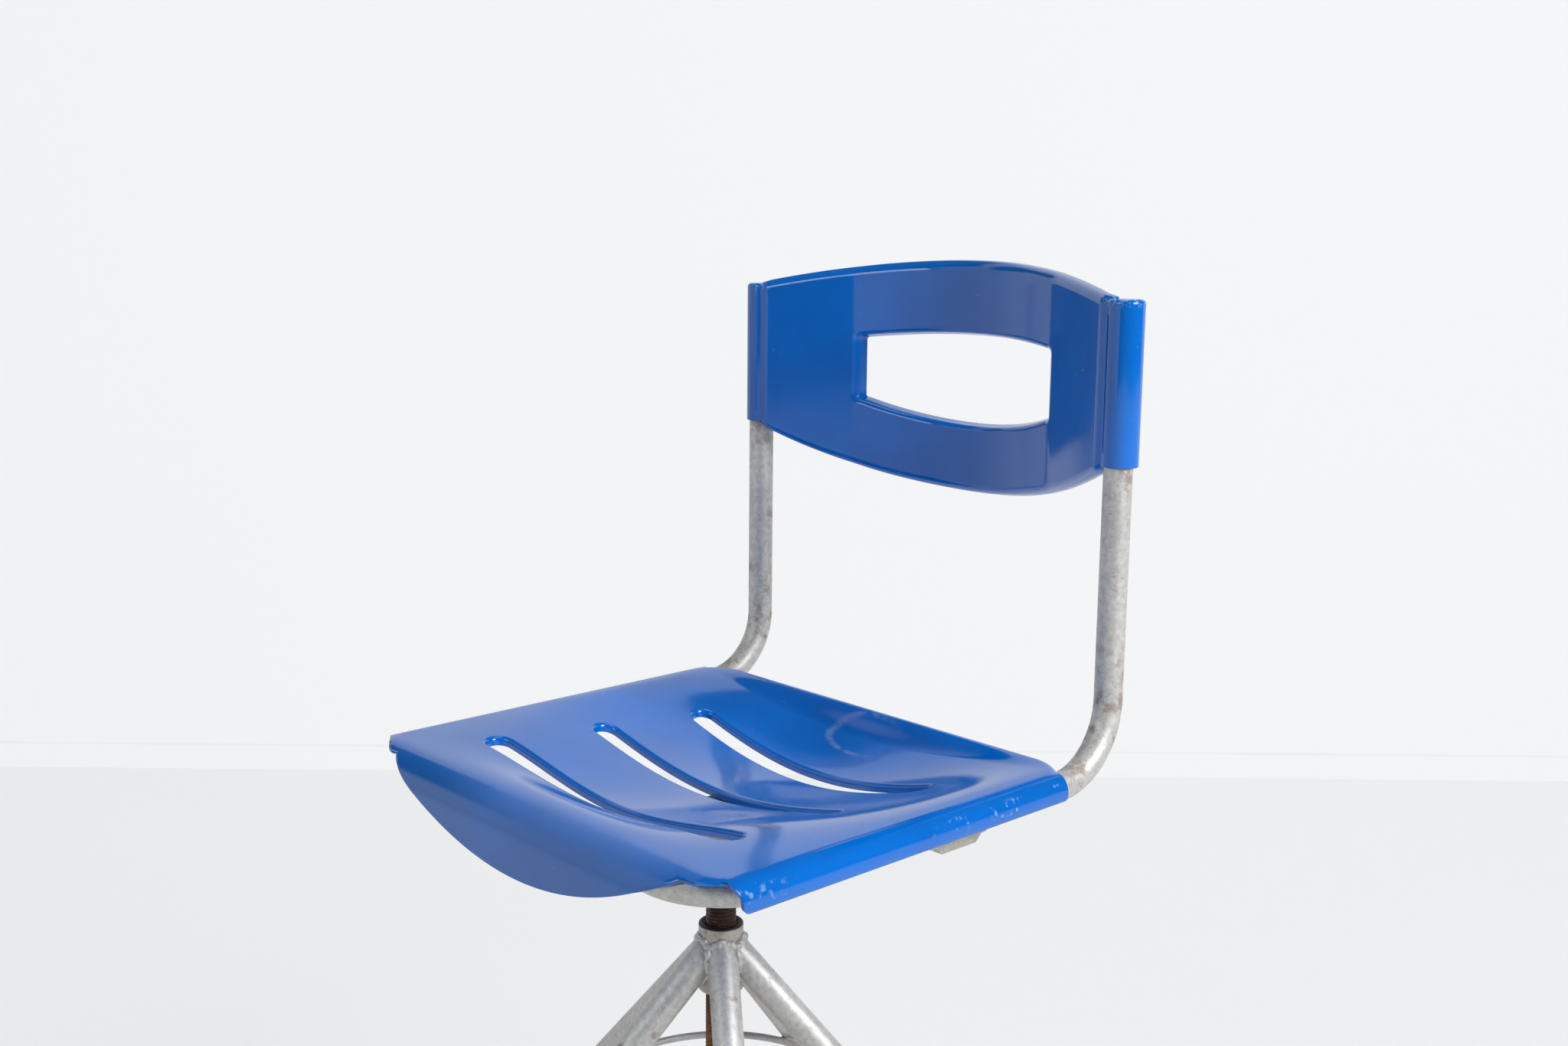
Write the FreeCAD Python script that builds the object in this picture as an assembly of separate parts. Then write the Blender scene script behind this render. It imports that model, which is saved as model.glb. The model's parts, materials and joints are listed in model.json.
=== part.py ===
import FreeCAD, Part
import math
import os

from FreeCAD import Vector

# Screw-adjusted swivel stool with a moulded seat and backrest.
# Millimetres, +Z up, floor at z = 0. The sitter faces -Y and +X is the sitter's left.

# Chair frame: one round tube bent into two uprights, two side rails and a front cross
tube_d = 22.0
tube_wall = 2.0
rail_spacing = 400.0
rail_height = 479.0
upright_y = 220.0
front_cross_y = -178.0
bend_radius = 58.0
corner_radius = 60.0
upright_top = 838.6
bore_sides = 8

# Seat shell, moulded in one piece
shell_thickness = 3.2
shell_gap = 0.3
flange_front = -163.0
flange_rear = 156.0
flange_wrap = 25.0
seat_front_y = -193.5
seat_front_half = 148.0
seat_front_bend = 14.5
seat_back_y = 173.2
seat_back_half = 172.0
seat_back_bend = 8.0
seat_back_drop = 9.0
lip_drop = 51.8
lip_curve_radius = 305.0
lip_corner_depth = 2.6
crest_y = -176.0
rear_rise_y = 147.0
rear_rise_depth = 19.5
dish_half_width = 195.0
skin_stations = (0.0, 0.22, 0.45, 0.65, 0.81, 0.93)
slot_depths = (18.0, 30.0, 39.5)
slot_fullness = (2.8, 1.63, 1.45)
first_slot_y = -112.0
slot_pitch = 100.0
slot_width = 20.0
slot_half_lengths = (151.0, 144.0, 134.0)
slot_lip_depth = 7.0
slot_lip_wall = 2.6
seat_boss_d = 12.0
seat_boss_x = 39.0
seat_boss_pitch = 20.0

# Backrest shell, moulded in one piece with a blind sleeve at each end
sleeve_d = 28.8
sleeve_set_back = 1.2
sleeve_length = 125.1
sleeve_cap = 3.2
sleeve_bevel = 2.0
panel_depth = 60.0
panel_step = 4.0
panel_angle = 25.0
panel_arc_radius = 225.0
panel_thickness = 4.0
panel_rim = 12.0
panel_rim_wall = 4.0
panel_rise = 24.0
panel_drop = 49.0
window_half_width = 107.5
window_side_drop = 45.8
window_side_height = 50.0
window_bow_top = 7.0
window_bow_bottom = 18.7
window_corner = 4.0
back_screw_drop = 61.8

# Steel under the seat
cross_y = 44.5
cross_width = 53.0
cross_web_width = 36.0
cross_depth = 8.0
cross_middle_depth = 5.0
cross_wall = 2.5
cross_half_length = 205.0
cross_drop = 16.0
cross_flat_half = 50.0
cross_end_flat = 22.0
saddle_bite = 1.5
plate_width = 62.0
plate_front = -62.0
plate_thickness = 4.0
plate_corner = 10.0
boss_d = 40.0
boss_length = 30.0
boss_bevel = 2.0

# Screw spindle and the parts that stop it
spindle_d = 24.0
nut_clearance = 0.05
weld_gap = 0.05
spindle_end_gap = 110.0
spindle_chamfer = 1.5
stop_washer_d = 34.0
stop_washer_thickness = 3.0
stop_play = 0.2
washer_bore_gap = 0.4
bolt_d = 10.0
bolt_flats = 17.0
bolt_head = 6.4
bolt_grip = 25.0
bolt_hole_spare = 1.0
bolt_hole_point = 3.0

# Base: hub, nut, five legs, feet and the brace ring
hub_d = 35.4
hub_wall = 3.0
hub_rise = 10.4
hub_length = 55.0
nut_recess = 8.0
hub_bevel = 0.6
leg_count = 5
first_leg_angle = 37.0
leg_d = 24.0
leg_wall = 2.0
leg_slope = 47.0
leg_cross_height = 343.6
foot_wall = 3.0
foot_grip = 45.0
foot_sole = 8.0
foot_seat_gap = 0.05
ring_wire_d = 6.0
ring_height = 202.0
ring_gap = 0.1
weld_length = 9.0
weld_d = 9.0

# Small fasteners
screw_d = 5.0
screw_head_d = 9.5
screw_head = 3.0
screw_hole_gap = 0.3
seat_screw_length = 10.0
back_screw_d = 4.0
back_screw_head_d = 8.0
back_screw_head = 2.4

# Worked out from the sizes above
tube_r = tube_d / 2
rail_x = rail_spacing / 2
seat_top = rail_height + tube_r + shell_gap + shell_thickness
lip_height = seat_top - lip_drop
slope = math.radians(leg_slope)
leg_r = leg_d / 2
foot_radius = leg_cross_height / math.tan(slope)
leg_angles = [first_leg_angle + k * 360 / leg_count for k in range(leg_count)]
hub_top = leg_cross_height + hub_rise
hub_bottom = hub_top - hub_length
cross_top = rail_height - tube_r + saddle_bite
cross_bottom = cross_top - cross_depth
plate_top = cross_bottom - cross_drop
plate_bottom = plate_top - plate_thickness
boss_bottom = plate_bottom - boss_length
spindle_bottom = hub_bottom - spindle_end_gap
sleeve_top = upright_top + sleeve_cap
sleeve_bottom = sleeve_top - sleeve_length
window_side_top = sleeve_top - window_side_drop
window_side_bottom = window_side_top - window_side_height
back_screw_height = sleeve_top - back_screw_drop


def reach(direction):
    """How far the feet reach from the swivel axis along one direction, in degrees."""
    half_sole = leg_r + foot_seat_gap + foot_wall
    reaches = []
    for angle in leg_angles:
        turn = math.radians(angle - direction)
        along = half_sole / math.sin(slope) * math.cos(turn)
        across = half_sole * math.sin(turn)
        reaches.append(foot_radius * math.cos(turn) + math.hypot(along, across))
    return max(reaches)


# The origin is the middle of the whole outline on the floor, so the swivel axis stands beside it.
axis_x = (reach(180) - reach(0)) / 2
axis_y = (reach(270) - reach(90)) / 2


def block(x0, x1, y0, y1, z0, z1):
    """A box between two corners."""
    return Part.makeBox(x1 - x0, y1 - y0, z1 - z0, Vector(x0, y0, z0))


def upright_cylinder(radius, bottom, top, x=0.0, y=0.0):
    """A vertical cylinder."""
    return Part.makeCylinder(radius, top - bottom, Vector(x, y, bottom))


def revolved(profile):
    """A solid turned about the Z axis from (radius, height) corners."""
    points = [Vector(radius, 0, height) for radius, height in profile]
    face = Part.Face(Part.makePolygon(points + points[:1]))
    return face.revolve(Vector(0, 0, 0), Vector(0, 0, 1), 360)


def mirrored(shape):
    """The same shape on the other side of the middle plane."""
    return shape.mirror(Vector(0, 0, 0), Vector(1, 0, 0))


def smooth_edge(points, marks):
    """One smooth curve through the points, each at its own mark along the curve."""
    curve = Part.BSplineCurve()
    curve.interpolate(Points=points, Parameters=marks)
    return curve.toShape()


def eased(x, xs, ys):
    """A smooth curve through values at rising places, level at both ends."""
    inner = range(1, len(xs) - 1)
    slopes = [0.0] + [(ys[k + 1] - ys[k - 1]) / (xs[k + 1] - xs[k - 1]) for k in inner] + [0.0]
    if x <= xs[0]:
        return ys[0]
    for k in range(len(xs) - 1):
        if x <= xs[k + 1]:
            width = xs[k + 1] - xs[k]
            t = (x - xs[k]) / width
            values = (1 + 2 * t) * (1 - t) ** 2 * ys[k] + t * t * (3 - 2 * t) * ys[k + 1]
            return values + width * t * (1 - t) * ((1 - t) * slopes[k] - t * slopes[k + 1])
    return ys[-1]


def round_section(radius, middle, heading, sides=0):
    """A disc square to a heading, or a regular polygon of the same radius."""
    if not sides:
        return Part.Face(Part.Wire(Part.makeCircle(radius, middle, heading)))
    across = heading.cross(Vector(0, 0, 1))
    if across.Length < 0.5:
        across = Vector(1, 0, 0)
    across.normalize()
    up = across.cross(heading)
    corners = []
    for k in range(sides):
        angle = 2 * math.pi * k / sides
        spoke = Vector(across).multiply(radius * math.cos(angle))
        corners.append(middle.add(spoke).add(Vector(up).multiply(radius * math.sin(angle))))
    return Part.Face(Part.makePolygon(corners + corners[:1]))


# Chair frame

def round_bar(radius, start, end):
    """A straight length of round bar."""
    along = end.sub(start)
    return Part.makeCylinder(radius, along.Length, start, along)


def frame_tube(radius, sides=0):
    """A solid round bar of the given radius along the frame's centre line."""
    r = bend_radius
    c = corner_radius
    ahead = Vector(0, 1, 0)
    lengths = []
    for side in (1, -1):
        x = side * rail_x
        upright_end = Vector(x, upright_y, rail_height + r)
        rail_start = Vector(x, upright_y - r, rail_height)
        rail_end = Vector(x, front_cross_y + c, rail_height)
        bend_centre = Vector(x, upright_y - r, rail_height + r)
        corner_centre = Vector(x - side * c, front_cross_y + c, rail_height)
        bend = round_section(radius, rail_start, ahead, sides).revolve(bend_centre, Vector(1, 0, 0), 90)
        corner = round_section(radius, rail_end, ahead, sides).revolve(corner_centre, Vector(0, 0, 1), -90 * side)
        lengths += [bend, corner]
        lengths.append(round_bar(radius, upright_end, Vector(x, upright_y, upright_top)))
        lengths.append(round_bar(radius, rail_end, rail_start))
    left = Vector(c - rail_x, front_cross_y, rail_height)
    right = Vector(rail_x - c, front_cross_y, rail_height)
    lengths.append(round_bar(radius, left, right))
    return lengths[0].fuse(lengths[1:]).removeSplitter()


def make_seat_frame():
    """The bent tube, open at its two upper ends. Its bore is many-sided in the bends."""
    return frame_tube(tube_r).cut(frame_tube(tube_r - tube_wall, bore_sides))


# Seat shell

def slot_ys():
    """Where the slots' middles lie."""
    return [first_slot_y + k * slot_pitch for k in range(len(slot_half_lengths))]


def dish_depth(y):
    """How far the middle of the seat lies below the side rails' level."""
    ys = [crest_y] + slot_ys() + [rear_rise_y, seat_back_y - seat_back_bend]
    return eased(y, ys, [0.0] + list(slot_depths) + [rear_rise_depth, 0.0])


def dish_fullness(y):
    """The exponent that sets how wide the bottom of the dish is."""
    return eased(y, slot_ys(), list(slot_fullness))


def seat_z(x, y):
    """The height of the seat's upper face."""
    t = min(1.0, (x / dish_half_width) ** 2)
    return seat_top - dish_depth(y) * (1 - t) ** dish_fullness(y)


def seat_skin(thickness):
    """The dished skin between the rails, lofted across the seat and trimmed where the edges roll down."""
    margin = shell_thickness
    front = seat_front_y + seat_front_bend - margin
    back = seat_back_y - seat_back_bend + margin
    count = 11
    ys = [front + (back - front) * k / (count - 1) for k in range(count)]
    half_stations = [rail_x * share for share in skin_stations] + [rail_x + margin]
    sections = []
    for x in [-x for x in half_stations[:0:-1]] + half_stations:
        upper = [Vector(x, y, seat_z(x, y)) for y in ys]
        lower = [point.sub(Vector(0, 0, thickness)) for point in upper]
        edges = [
            smooth_edge(upper, ys),
            Part.makeLine(upper[-1], lower[-1]),
            smooth_edge(lower[::-1], [-y for y in ys[::-1]]),
            Part.makeLine(lower[0], upper[0]),
        ]
        sections.append(Part.Wire(edges))
    return Part.makeLoft(sections, True, False).common(plan_prism())


def plan_prism():
    """The seat's plan inside its rolled edges, as a tall block."""
    low = seat_top - slot_depths[-1] - 3 * slot_lip_depth
    edges = []
    ends = {-1: [], 1: []}
    for half, bend, y_edge, heading in rolled_edges():
        radius = rail_x - half
        middle_y = y_edge - heading * (bend + radius)

        def at(side, angle):
            out = side * (half + radius * math.sin(angle))
            return Vector(out, middle_y + heading * radius * math.cos(angle), low)

        edges.append(Part.makeLine(at(-1, 0.0), at(1, 0.0)))
        for side in (-1, 1):
            edges.append(Part.Arc(at(side, 0.0), at(side, math.pi / 4), at(side, math.pi / 2)).toShape())
            ends[side].append(at(side, math.pi / 2))
    edges += [Part.makeLine(*ends[side]) for side in (-1, 1)]
    outline = Part.Wire(Part.__sortEdges__(edges))
    return Part.Face(outline).extrude(Vector(0, 0, seat_top + slot_lip_depth - low))


def rolled_edges():
    """Straight half, bend radius, place and heading of the seat's two rolled edges."""
    return [
        (seat_front_half, seat_front_bend, seat_front_y, -1),
        (seat_back_half, seat_back_bend, seat_back_y, 1),
    ]


def rolled_edge(half, bend, y_edge, heading, depth):
    """A turned-down edge: straight between two round corners that end at the rails."""
    flat = rail_x - half
    corner = flat + bend
    y = y_edge - heading * corner
    inner_bend = bend - shell_thickness
    low = seat_top - depth

    def at(distance, height):
        return Vector(half, y + heading * distance, height)

    def quarter(radius):
        edge = radius * math.sqrt(0.5)
        middle = at(flat + edge, seat_top - bend + edge)
        return Part.Arc(at(flat, seat_top - bend + radius), middle, at(flat + radius, seat_top - bend)).toShape()

    section = Part.Face(Part.Wire(Part.__sortEdges__([
        quarter(bend),
        Part.makeLine(at(corner, seat_top - bend), at(corner, low)),
        Part.makeLine(at(corner, low), at(corner - shell_thickness, low)),
        Part.makeLine(at(corner - shell_thickness, low), at(flat + inner_bend, seat_top - bend)),
        quarter(inner_bend),
        Part.makeLine(at(flat, seat_top - shell_thickness), at(flat, seat_top)),
    ])))
    left = section.revolve(Vector(half, y, 0), Vector(0, 0, 1), -90 * heading)
    straight = section.extrude(Vector(-2 * half, 0, 0))
    return straight.fuse([left, mirrored(left)])


def front_lip():
    """The front edge, hanging lowest in the middle."""
    depth = seat_top - lip_height
    lip = rolled_edge(*rolled_edges()[0], depth)
    radius = lip_curve_radius
    reach_y = 2 * (rail_x - seat_front_half)
    centre = Vector(0, seat_front_y - reach_y, lip_height + radius)
    keep = Part.makeCylinder(radius, 2 * reach_y, centre, Vector(0, 1, 0))
    y_end = seat_front_y + reach_y
    below = block(-2 * rail_x, 2 * rail_x, seat_front_y - 1, y_end, lip_height - 1, seat_top - lip_corner_depth)
    return lip.cut(below.cut(keep))


def rear_edge():
    """The turned-down rear edge, cleared underneath where its corners cross the rails."""
    edge = rolled_edge(*rolled_edges()[1], seat_back_drop)
    inner = rail_x - tube_r - shell_gap
    low = seat_top - 2 * seat_back_drop
    room = block(inner, rail_x + tube_d, 0.0, 2 * seat_back_y, low, seat_top - shell_thickness)
    return edge.cut([room, mirrored(room)])


def rail_flange():
    """The part of the shell that hooks over the left rail."""
    inner = tube_r + shell_gap
    outer = inner + shell_thickness
    wrap = math.radians(flange_wrap)
    middle = math.radians(45 - flange_wrap / 2)

    def on_arc(radius, angle):
        return Vector(rail_x + radius * math.cos(angle), flange_front, rail_height + radius * math.sin(angle))

    outer_arc = Part.Arc(on_arc(outer, math.pi / 2), on_arc(outer, middle), on_arc(outer, -wrap))
    inner_arc = Part.Arc(on_arc(inner, -wrap), on_arc(inner, middle), on_arc(inner, math.pi / 2))
    end = Part.makeLine(on_arc(outer, -wrap), on_arc(inner, -wrap))
    start = Part.makeLine(on_arc(inner, math.pi / 2), on_arc(outer, math.pi / 2))
    outline = Part.Wire([outer_arc.toShape(), end, inner_arc.toShape(), start])
    return Part.Face(outline).extrude(Vector(0, flange_rear - flange_front, 0))


def slot_prism(y, half_length, growth):
    """A vertical round-ended slot, grown by a margin all round."""
    radius = slot_width / 2 + growth
    straight = half_length - slot_width / 2
    low = seat_top - slot_depths[-1] - 3 * slot_lip_depth
    high = seat_top + slot_lip_depth
    body = block(-straight, straight, y - radius, y + radius, low, high)
    for side in (-1, 1):
        body = body.fuse(upright_cylinder(radius, low, high, side * straight, y))
    return body


def seat_boss_places():
    """Where the four seat screws stand."""
    return [(side * seat_boss_x, cross_y + shift * seat_boss_pitch / 2) for side in (-1, 1) for shift in (-1, 1)]


def make_seat_shell():
    """The seat: dished skin, rail flanges, turned-down slot lips and screw bosses."""
    skin = seat_skin(shell_thickness)
    deep = seat_skin(slot_lip_depth)
    shell = skin.fuse([front_lip(), rear_edge(), rail_flange(), mirrored(rail_flange())])
    for k, half_length in enumerate(slot_half_lengths):
        y = first_slot_y + k * slot_pitch
        hole = slot_prism(y, half_length, 0.0)
        lip = deep.common(slot_prism(y, half_length, slot_lip_wall)).cut(hole)
        shell = shell.cut(hole).fuse(lip)
    web_top = plate_top + cross_wall
    for x, y in seat_boss_places():
        column = upright_cylinder(seat_boss_d / 2, web_top, seat_z(x, y) - shell_thickness / 2, x, y)
        pilot_top = plate_top + seat_screw_length + screw_hole_gap
        pilot = upright_cylinder(screw_d / 2 + weld_gap, web_top, pilot_top, x, y)
        shell = shell.fuse(column).cut(pilot)
    return shell.removeSplitter()


# Backrest shell

def panel_line(offset):
    """The backrest in plan: two straight wings and an arc between them, moved back by an offset."""
    angle = math.radians(panel_angle)
    centre_y = upright_y - panel_step + panel_depth - panel_arc_radius
    radius = panel_arc_radius + offset
    half = radius * math.sin(angle)
    y_half = centre_y + radius * math.cos(angle)
    y_end = y_half - (rail_x - half) * math.tan(angle)
    return half, y_half, y_end, centre_y + radius


def panel_slab(front, back, low, high):
    """The band between two offsets of the backrest's plan line, as a tall slab."""
    edges = []
    ends = []
    for offset, direction in ((front, 1), (back, -1)):
        half, y_half, y_end, y_mid = panel_line(offset)
        points = [
            Vector(-rail_x * direction, y_end, low),
            Vector(-half * direction, y_half, low),
            Vector(half * direction, y_half, low),
            Vector(rail_x * direction, y_end, low),
        ]
        arc = Part.Arc(points[1], Vector(0, y_mid, low), points[2])
        edges += [Part.makeLine(points[0], points[1]), arc.toShape(), Part.makeLine(points[2], points[3])]
        ends += [points[0], points[3]]
    edges.append(Part.makeLine(ends[1], ends[2]))
    edges.append(Part.makeLine(ends[3], ends[0]))
    outline = Part.Wire(Part.__sortEdges__(edges))
    return Part.Face(outline).extrude(Vector(0, 0, high - low))


def panel_outline(inset):
    """The backrest seen from the front, bowed at top and bottom, as a block through it."""
    x = rail_x
    low = sleeve_bottom + inset
    high = sleeve_top - inset
    y0 = upright_y - sleeve_d
    y1 = upright_y + 2 * panel_depth
    bottom = Part.Arc(Vector(-x, y0, low), Vector(0, y0, low - panel_drop), Vector(x, y0, low))
    top = Part.Arc(Vector(x, y0, high), Vector(0, y0, high + panel_rise), Vector(-x, y0, high))
    right = Part.makeLine(Vector(x, y0, low), Vector(x, y0, high))
    left = Part.makeLine(Vector(-x, y0, high), Vector(-x, y0, low))
    outline = Part.Wire([bottom.toShape(), right, top.toShape(), left])
    return Part.Face(outline).extrude(Vector(0, y1 - y0, 0))


def window_block(growth):
    """The backrest's opening, grown by a margin, as a block through the panel."""
    x = window_half_width + growth
    low = window_side_bottom - growth
    high = window_side_top + growth
    y0 = upright_y - sleeve_d
    y1 = upright_y + 2 * panel_depth
    bottom = Part.Arc(Vector(-x, y0, low), Vector(0, y0, low - window_bow_bottom), Vector(x, y0, low))
    top = Part.Arc(Vector(x, y0, high), Vector(0, y0, high + window_bow_top), Vector(-x, y0, high))
    right = Part.makeLine(Vector(x, y0, low), Vector(x, y0, high))
    left = Part.makeLine(Vector(-x, y0, high), Vector(-x, y0, low))
    outline = Part.Wire([bottom.toShape(), right, top.toShape(), left])
    block_shape = Part.Face(outline).extrude(Vector(0, y1 - y0, 0))
    corners = [edge for edge in block_shape.Edges if is_along_y(edge)]
    return block_shape.makeFillet(window_corner + growth, corners)


def is_along_y(edge):
    """Whether an edge is a straight line along Y."""
    ends = edge.Vertexes
    if len(ends) != 2:
        return False
    step = ends[1].Point.sub(ends[0].Point)
    return abs(step.x) < 1e-6 and abs(step.z) < 1e-6


def sleeve():
    """The outside of the left sleeve, with a bevelled top."""
    radius = sleeve_d / 2
    shoulder = sleeve_top - sleeve_bevel
    y = upright_y + sleeve_set_back
    body = upright_cylinder(radius, sleeve_bottom, shoulder, rail_x, y)
    cap = Part.makeCone(radius, radius - sleeve_bevel, sleeve_bevel, Vector(rail_x, y, shoulder))
    return body.fuse(cap)


def make_back_shell():
    """The backrest: bowed panel with a window, turned-back rims and two sleeves."""
    low = sleeve_bottom - panel_drop - panel_rim
    high = sleeve_top + panel_rise + panel_rim
    face = panel_slab(0.0, panel_thickness, low, high)
    deep = panel_slab(0.0, panel_rim, low, high)
    outer = panel_outline(0.0)
    rim = outer.cut(panel_outline(panel_rim_wall))
    window_rim = window_block(panel_rim_wall).common(outer)
    shell = face.common(outer).fuse(deep.common(rim)).fuse(deep.common(window_rim))
    shell = shell.cut(window_block(0.0))
    shell = shell.fuse([sleeve(), mirrored(sleeve())])
    bore = upright_cylinder(tube_r + shell_gap, low, upright_top, rail_x, upright_y)
    beyond = block(rail_x, rail_x + sleeve_d, upright_y - sleeve_d, upright_y + 4 * sleeve_d, low, high)
    keep = upright_cylinder(sleeve_d / 2, low, high, rail_x, upright_y + sleeve_set_back)
    trim = beyond.cut(keep)
    shell = shell.cut([bore, mirrored(bore), trim, mirrored(trim)])
    for side in (-1, 1):
        shell = shell.cut(back_screw_shank(side, weld_gap))
    return shell.removeSplitter()


# Steel under the seat

def cross_line(offset_end=0.0):
    """Corners of the cross member's rim in front view: level ends, slopes and a low middle."""
    end = cross_half_length - offset_end
    shoulder = cross_half_length - cross_end_flat
    return [(-end, 0.0), (-shoulder, 0.0), (-cross_flat_half, -cross_drop),
            (cross_flat_half, -cross_drop), (shoulder, 0.0), (end, 0.0)]


def cross_trough(top, bottom, half_top, half_bottom, offset_end):
    """A trough with sloping sides that follows the cross member's line, shallower in the middle."""
    sections = []
    for x, drop in cross_line(offset_end):
        rim = top + drop + (cross_depth - cross_middle_depth) * drop / cross_drop
        corners = [
            Vector(x, cross_y - half_top, rim),
            Vector(x, cross_y + half_top, rim),
            Vector(x, cross_y + half_bottom, bottom + drop),
            Vector(x, cross_y - half_bottom, bottom + drop),
        ]
        sections.append(Part.makePolygon(corners + corners[:1]))
    return Part.makeLoft(sections, True, True)


def make_cross_member():
    """The pressed cross member, notched where the two rails sit in it."""
    outer = cross_trough(cross_top, cross_bottom, cross_width / 2, cross_web_width / 2, 0.0)
    lean = (cross_width - cross_web_width) / 2 / cross_depth
    over = cross_wall
    inner = cross_trough(
        cross_top + over,
        cross_bottom + cross_wall,
        cross_width / 2 - cross_wall + lean * over,
        cross_web_width / 2 - cross_wall + lean * cross_wall,
        cross_wall,
    )
    member = outer.cut(inner)
    member = member.cut(frame_tube(tube_r))
    for x, y in seat_boss_places():
        hole = upright_cylinder(screw_d / 2 + screw_hole_gap, plate_top - cross_wall, plate_top + 2 * cross_wall, x, y)
        member = member.cut(hole)
    return member


def make_spindle_plate():
    """The flat plate under the cross member that takes the spindle."""
    rear = cross_y + cross_web_width / 2
    plate = block(-plate_width / 2, plate_width / 2, plate_front, rear, plate_bottom, plate_top)
    corners = [edge for edge in plate.Edges if is_upright(edge)]
    return plate.makeFillet(plate_corner, corners)


def is_upright(edge):
    """Whether an edge is a straight line along Z."""
    step = edge.Vertexes[-1].Point.sub(edge.Vertexes[0].Point)
    return abs(step.x) < 1e-6 and abs(step.y) < 1e-6


def make_spindle_boss():
    """The turned collar welded under the plate."""
    bore = spindle_d / 2 + weld_gap
    outer = boss_d / 2
    return revolved([
        (bore, boss_bottom),
        (outer - boss_bevel, boss_bottom),
        (outer, boss_bottom + boss_bevel),
        (outer, plate_bottom),
        (bore, plate_bottom),
    ])


# Spindle and its stop

def make_spindle():
    """The spindle, plain here over its thread, with a tapped hole in its lower end."""
    radius = spindle_d / 2
    hole = bolt_d / 2 + weld_gap
    depth = spindle_bottom + bolt_grip + bolt_hole_spare
    return revolved([
        (hole, spindle_bottom),
        (radius - spindle_chamfer, spindle_bottom),
        (radius, spindle_bottom + spindle_chamfer),
        (radius, plate_bottom),
        (0.0, plate_bottom),
        (0.0, depth + bolt_hole_point),
        (hole, depth),
    ])


def make_stop_washer():
    """The loose washer that meets the hub when the seat is screwed right up."""
    top = spindle_bottom - stop_play
    bottom = top - stop_washer_thickness
    bore = bolt_d / 2 + washer_bore_gap
    outer = stop_washer_d / 2
    return revolved([(bore, bottom), (outer, bottom), (outer, top), (bore, top)])


def make_stop_bolt():
    """The hexagon bolt that carries the stop washer."""
    seat = spindle_bottom - 2 * stop_play - stop_washer_thickness
    corner = bolt_flats / math.sqrt(3)
    points = []
    for k in range(6):
        angle = math.radians(60 * k)
        points.append(Vector(corner * math.cos(angle), corner * math.sin(angle), seat - bolt_head))
    head = Part.Face(Part.makePolygon(points + points[:1])).extrude(Vector(0, 0, bolt_head))
    bevel = Part.makeCone(bolt_flats / 2, corner + bolt_head, bolt_head * 1.9, Vector(0, 0, seat - bolt_head))
    shank = upright_cylinder(bolt_d / 2, seat, spindle_bottom + bolt_grip)
    return head.common(bevel).fuse(shank).removeSplitter()


# Base

def make_hub_tube():
    """The welded hub, a plain tube with its rims broken."""
    outer = hub_d / 2
    inner = outer - hub_wall
    return revolved([
        (inner, hub_bottom),
        (outer, hub_bottom),
        (outer, hub_top - hub_bevel),
        (outer - hub_bevel, hub_top),
        (inner, hub_top),
    ])


def make_spindle_nut():
    """The long threaded bush inside the hub, plain here over its thread."""
    outer = hub_d / 2 - hub_wall - weld_gap
    bore = spindle_d / 2 + nut_clearance
    top = hub_top - nut_recess
    return revolved([(bore, hub_bottom), (outer, hub_bottom), (outer, top), (bore, top)])


def leg_frame(angle):
    """Start, direction and outward heading of one leg's centre line."""
    heading = Vector(math.cos(math.radians(angle)), math.sin(math.radians(angle)), 0)
    direction = Vector(heading.x * math.cos(slope), heading.y * math.cos(slope), -math.sin(slope))
    return Vector(0, 0, leg_cross_height), direction, heading


def leg_bar(angle, radius, end_height):
    """A round bar along one leg, from the swivel axis to a height above the floor."""
    start, direction, heading = leg_frame(angle)
    length = (leg_cross_height - end_height) / math.sin(slope)
    return Part.makeCylinder(radius, length, start, direction)


def leg_wedge(angle):
    """The sector of space that one leg keeps to beside its neighbours."""
    half = math.radians(180 / leg_count)
    far = foot_radius * 1.5
    centre = math.radians(angle)
    points = [Vector(0, 0, 0)]
    for side in (-1, 1):
        direction = centre + side * half
        points.append(Vector(far * math.cos(direction), far * math.sin(direction), 0))
    face = Part.Face(Part.makePolygon(points + points[:1]))
    return face.extrude(Vector(0, 0, hub_top + leg_d))


def leg_end_height():
    """Height of the point where a leg tube's centre line ends inside its foot."""
    return foot_sole + leg_r * math.cos(slope)


def make_leg(angle):
    """One leg tube, coped to the hub and mitred to its neighbours."""
    end = leg_end_height()
    leg = leg_bar(angle, leg_r, end).cut(leg_bar(angle, leg_r - leg_wall, end - leg_d))
    leg = leg.common(leg_wedge(angle))
    return leg.cut(upright_cylinder(hub_d / 2, hub_bottom - leg_d, hub_top + leg_d))


def make_foot(angle):
    """One rubber foot: a round sleeve along the leg with a flat sole on the floor."""
    start, direction, heading = leg_frame(angle)
    inner = leg_r + foot_seat_gap
    outer = inner + foot_wall
    along = (leg_cross_height - leg_end_height()) / math.sin(slope)
    top = start.add(Vector(direction).multiply(along - foot_grip))
    body = Part.makeCylinder(outer, foot_grip + 4 * foot_sole, top, direction)
    pocket = Part.makeCylinder(inner, foot_grip, top, direction)
    reach_out = 2 * foot_radius
    floor = block(-reach_out, reach_out, -reach_out, reach_out, -reach_out, 0.0)
    return body.cut([pocket, floor])


def ring_radius():
    """The hoop lies against the inner side of the legs."""
    leg_axis = (leg_cross_height - ring_height) / math.tan(slope)
    return leg_axis - (leg_r + ring_wire_d / 2 + ring_gap) / math.sin(slope)


def make_brace_ring():
    """The wire hoop that ties the legs, many-sided in section."""
    middle = Vector(ring_radius(), 0, ring_height)
    section = round_section(ring_wire_d / 2, middle, Vector(0, 1, 0), bore_sides)
    return section.revolve(Vector(0, 0, 0), Vector(0, 0, 1), 360)


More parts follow.
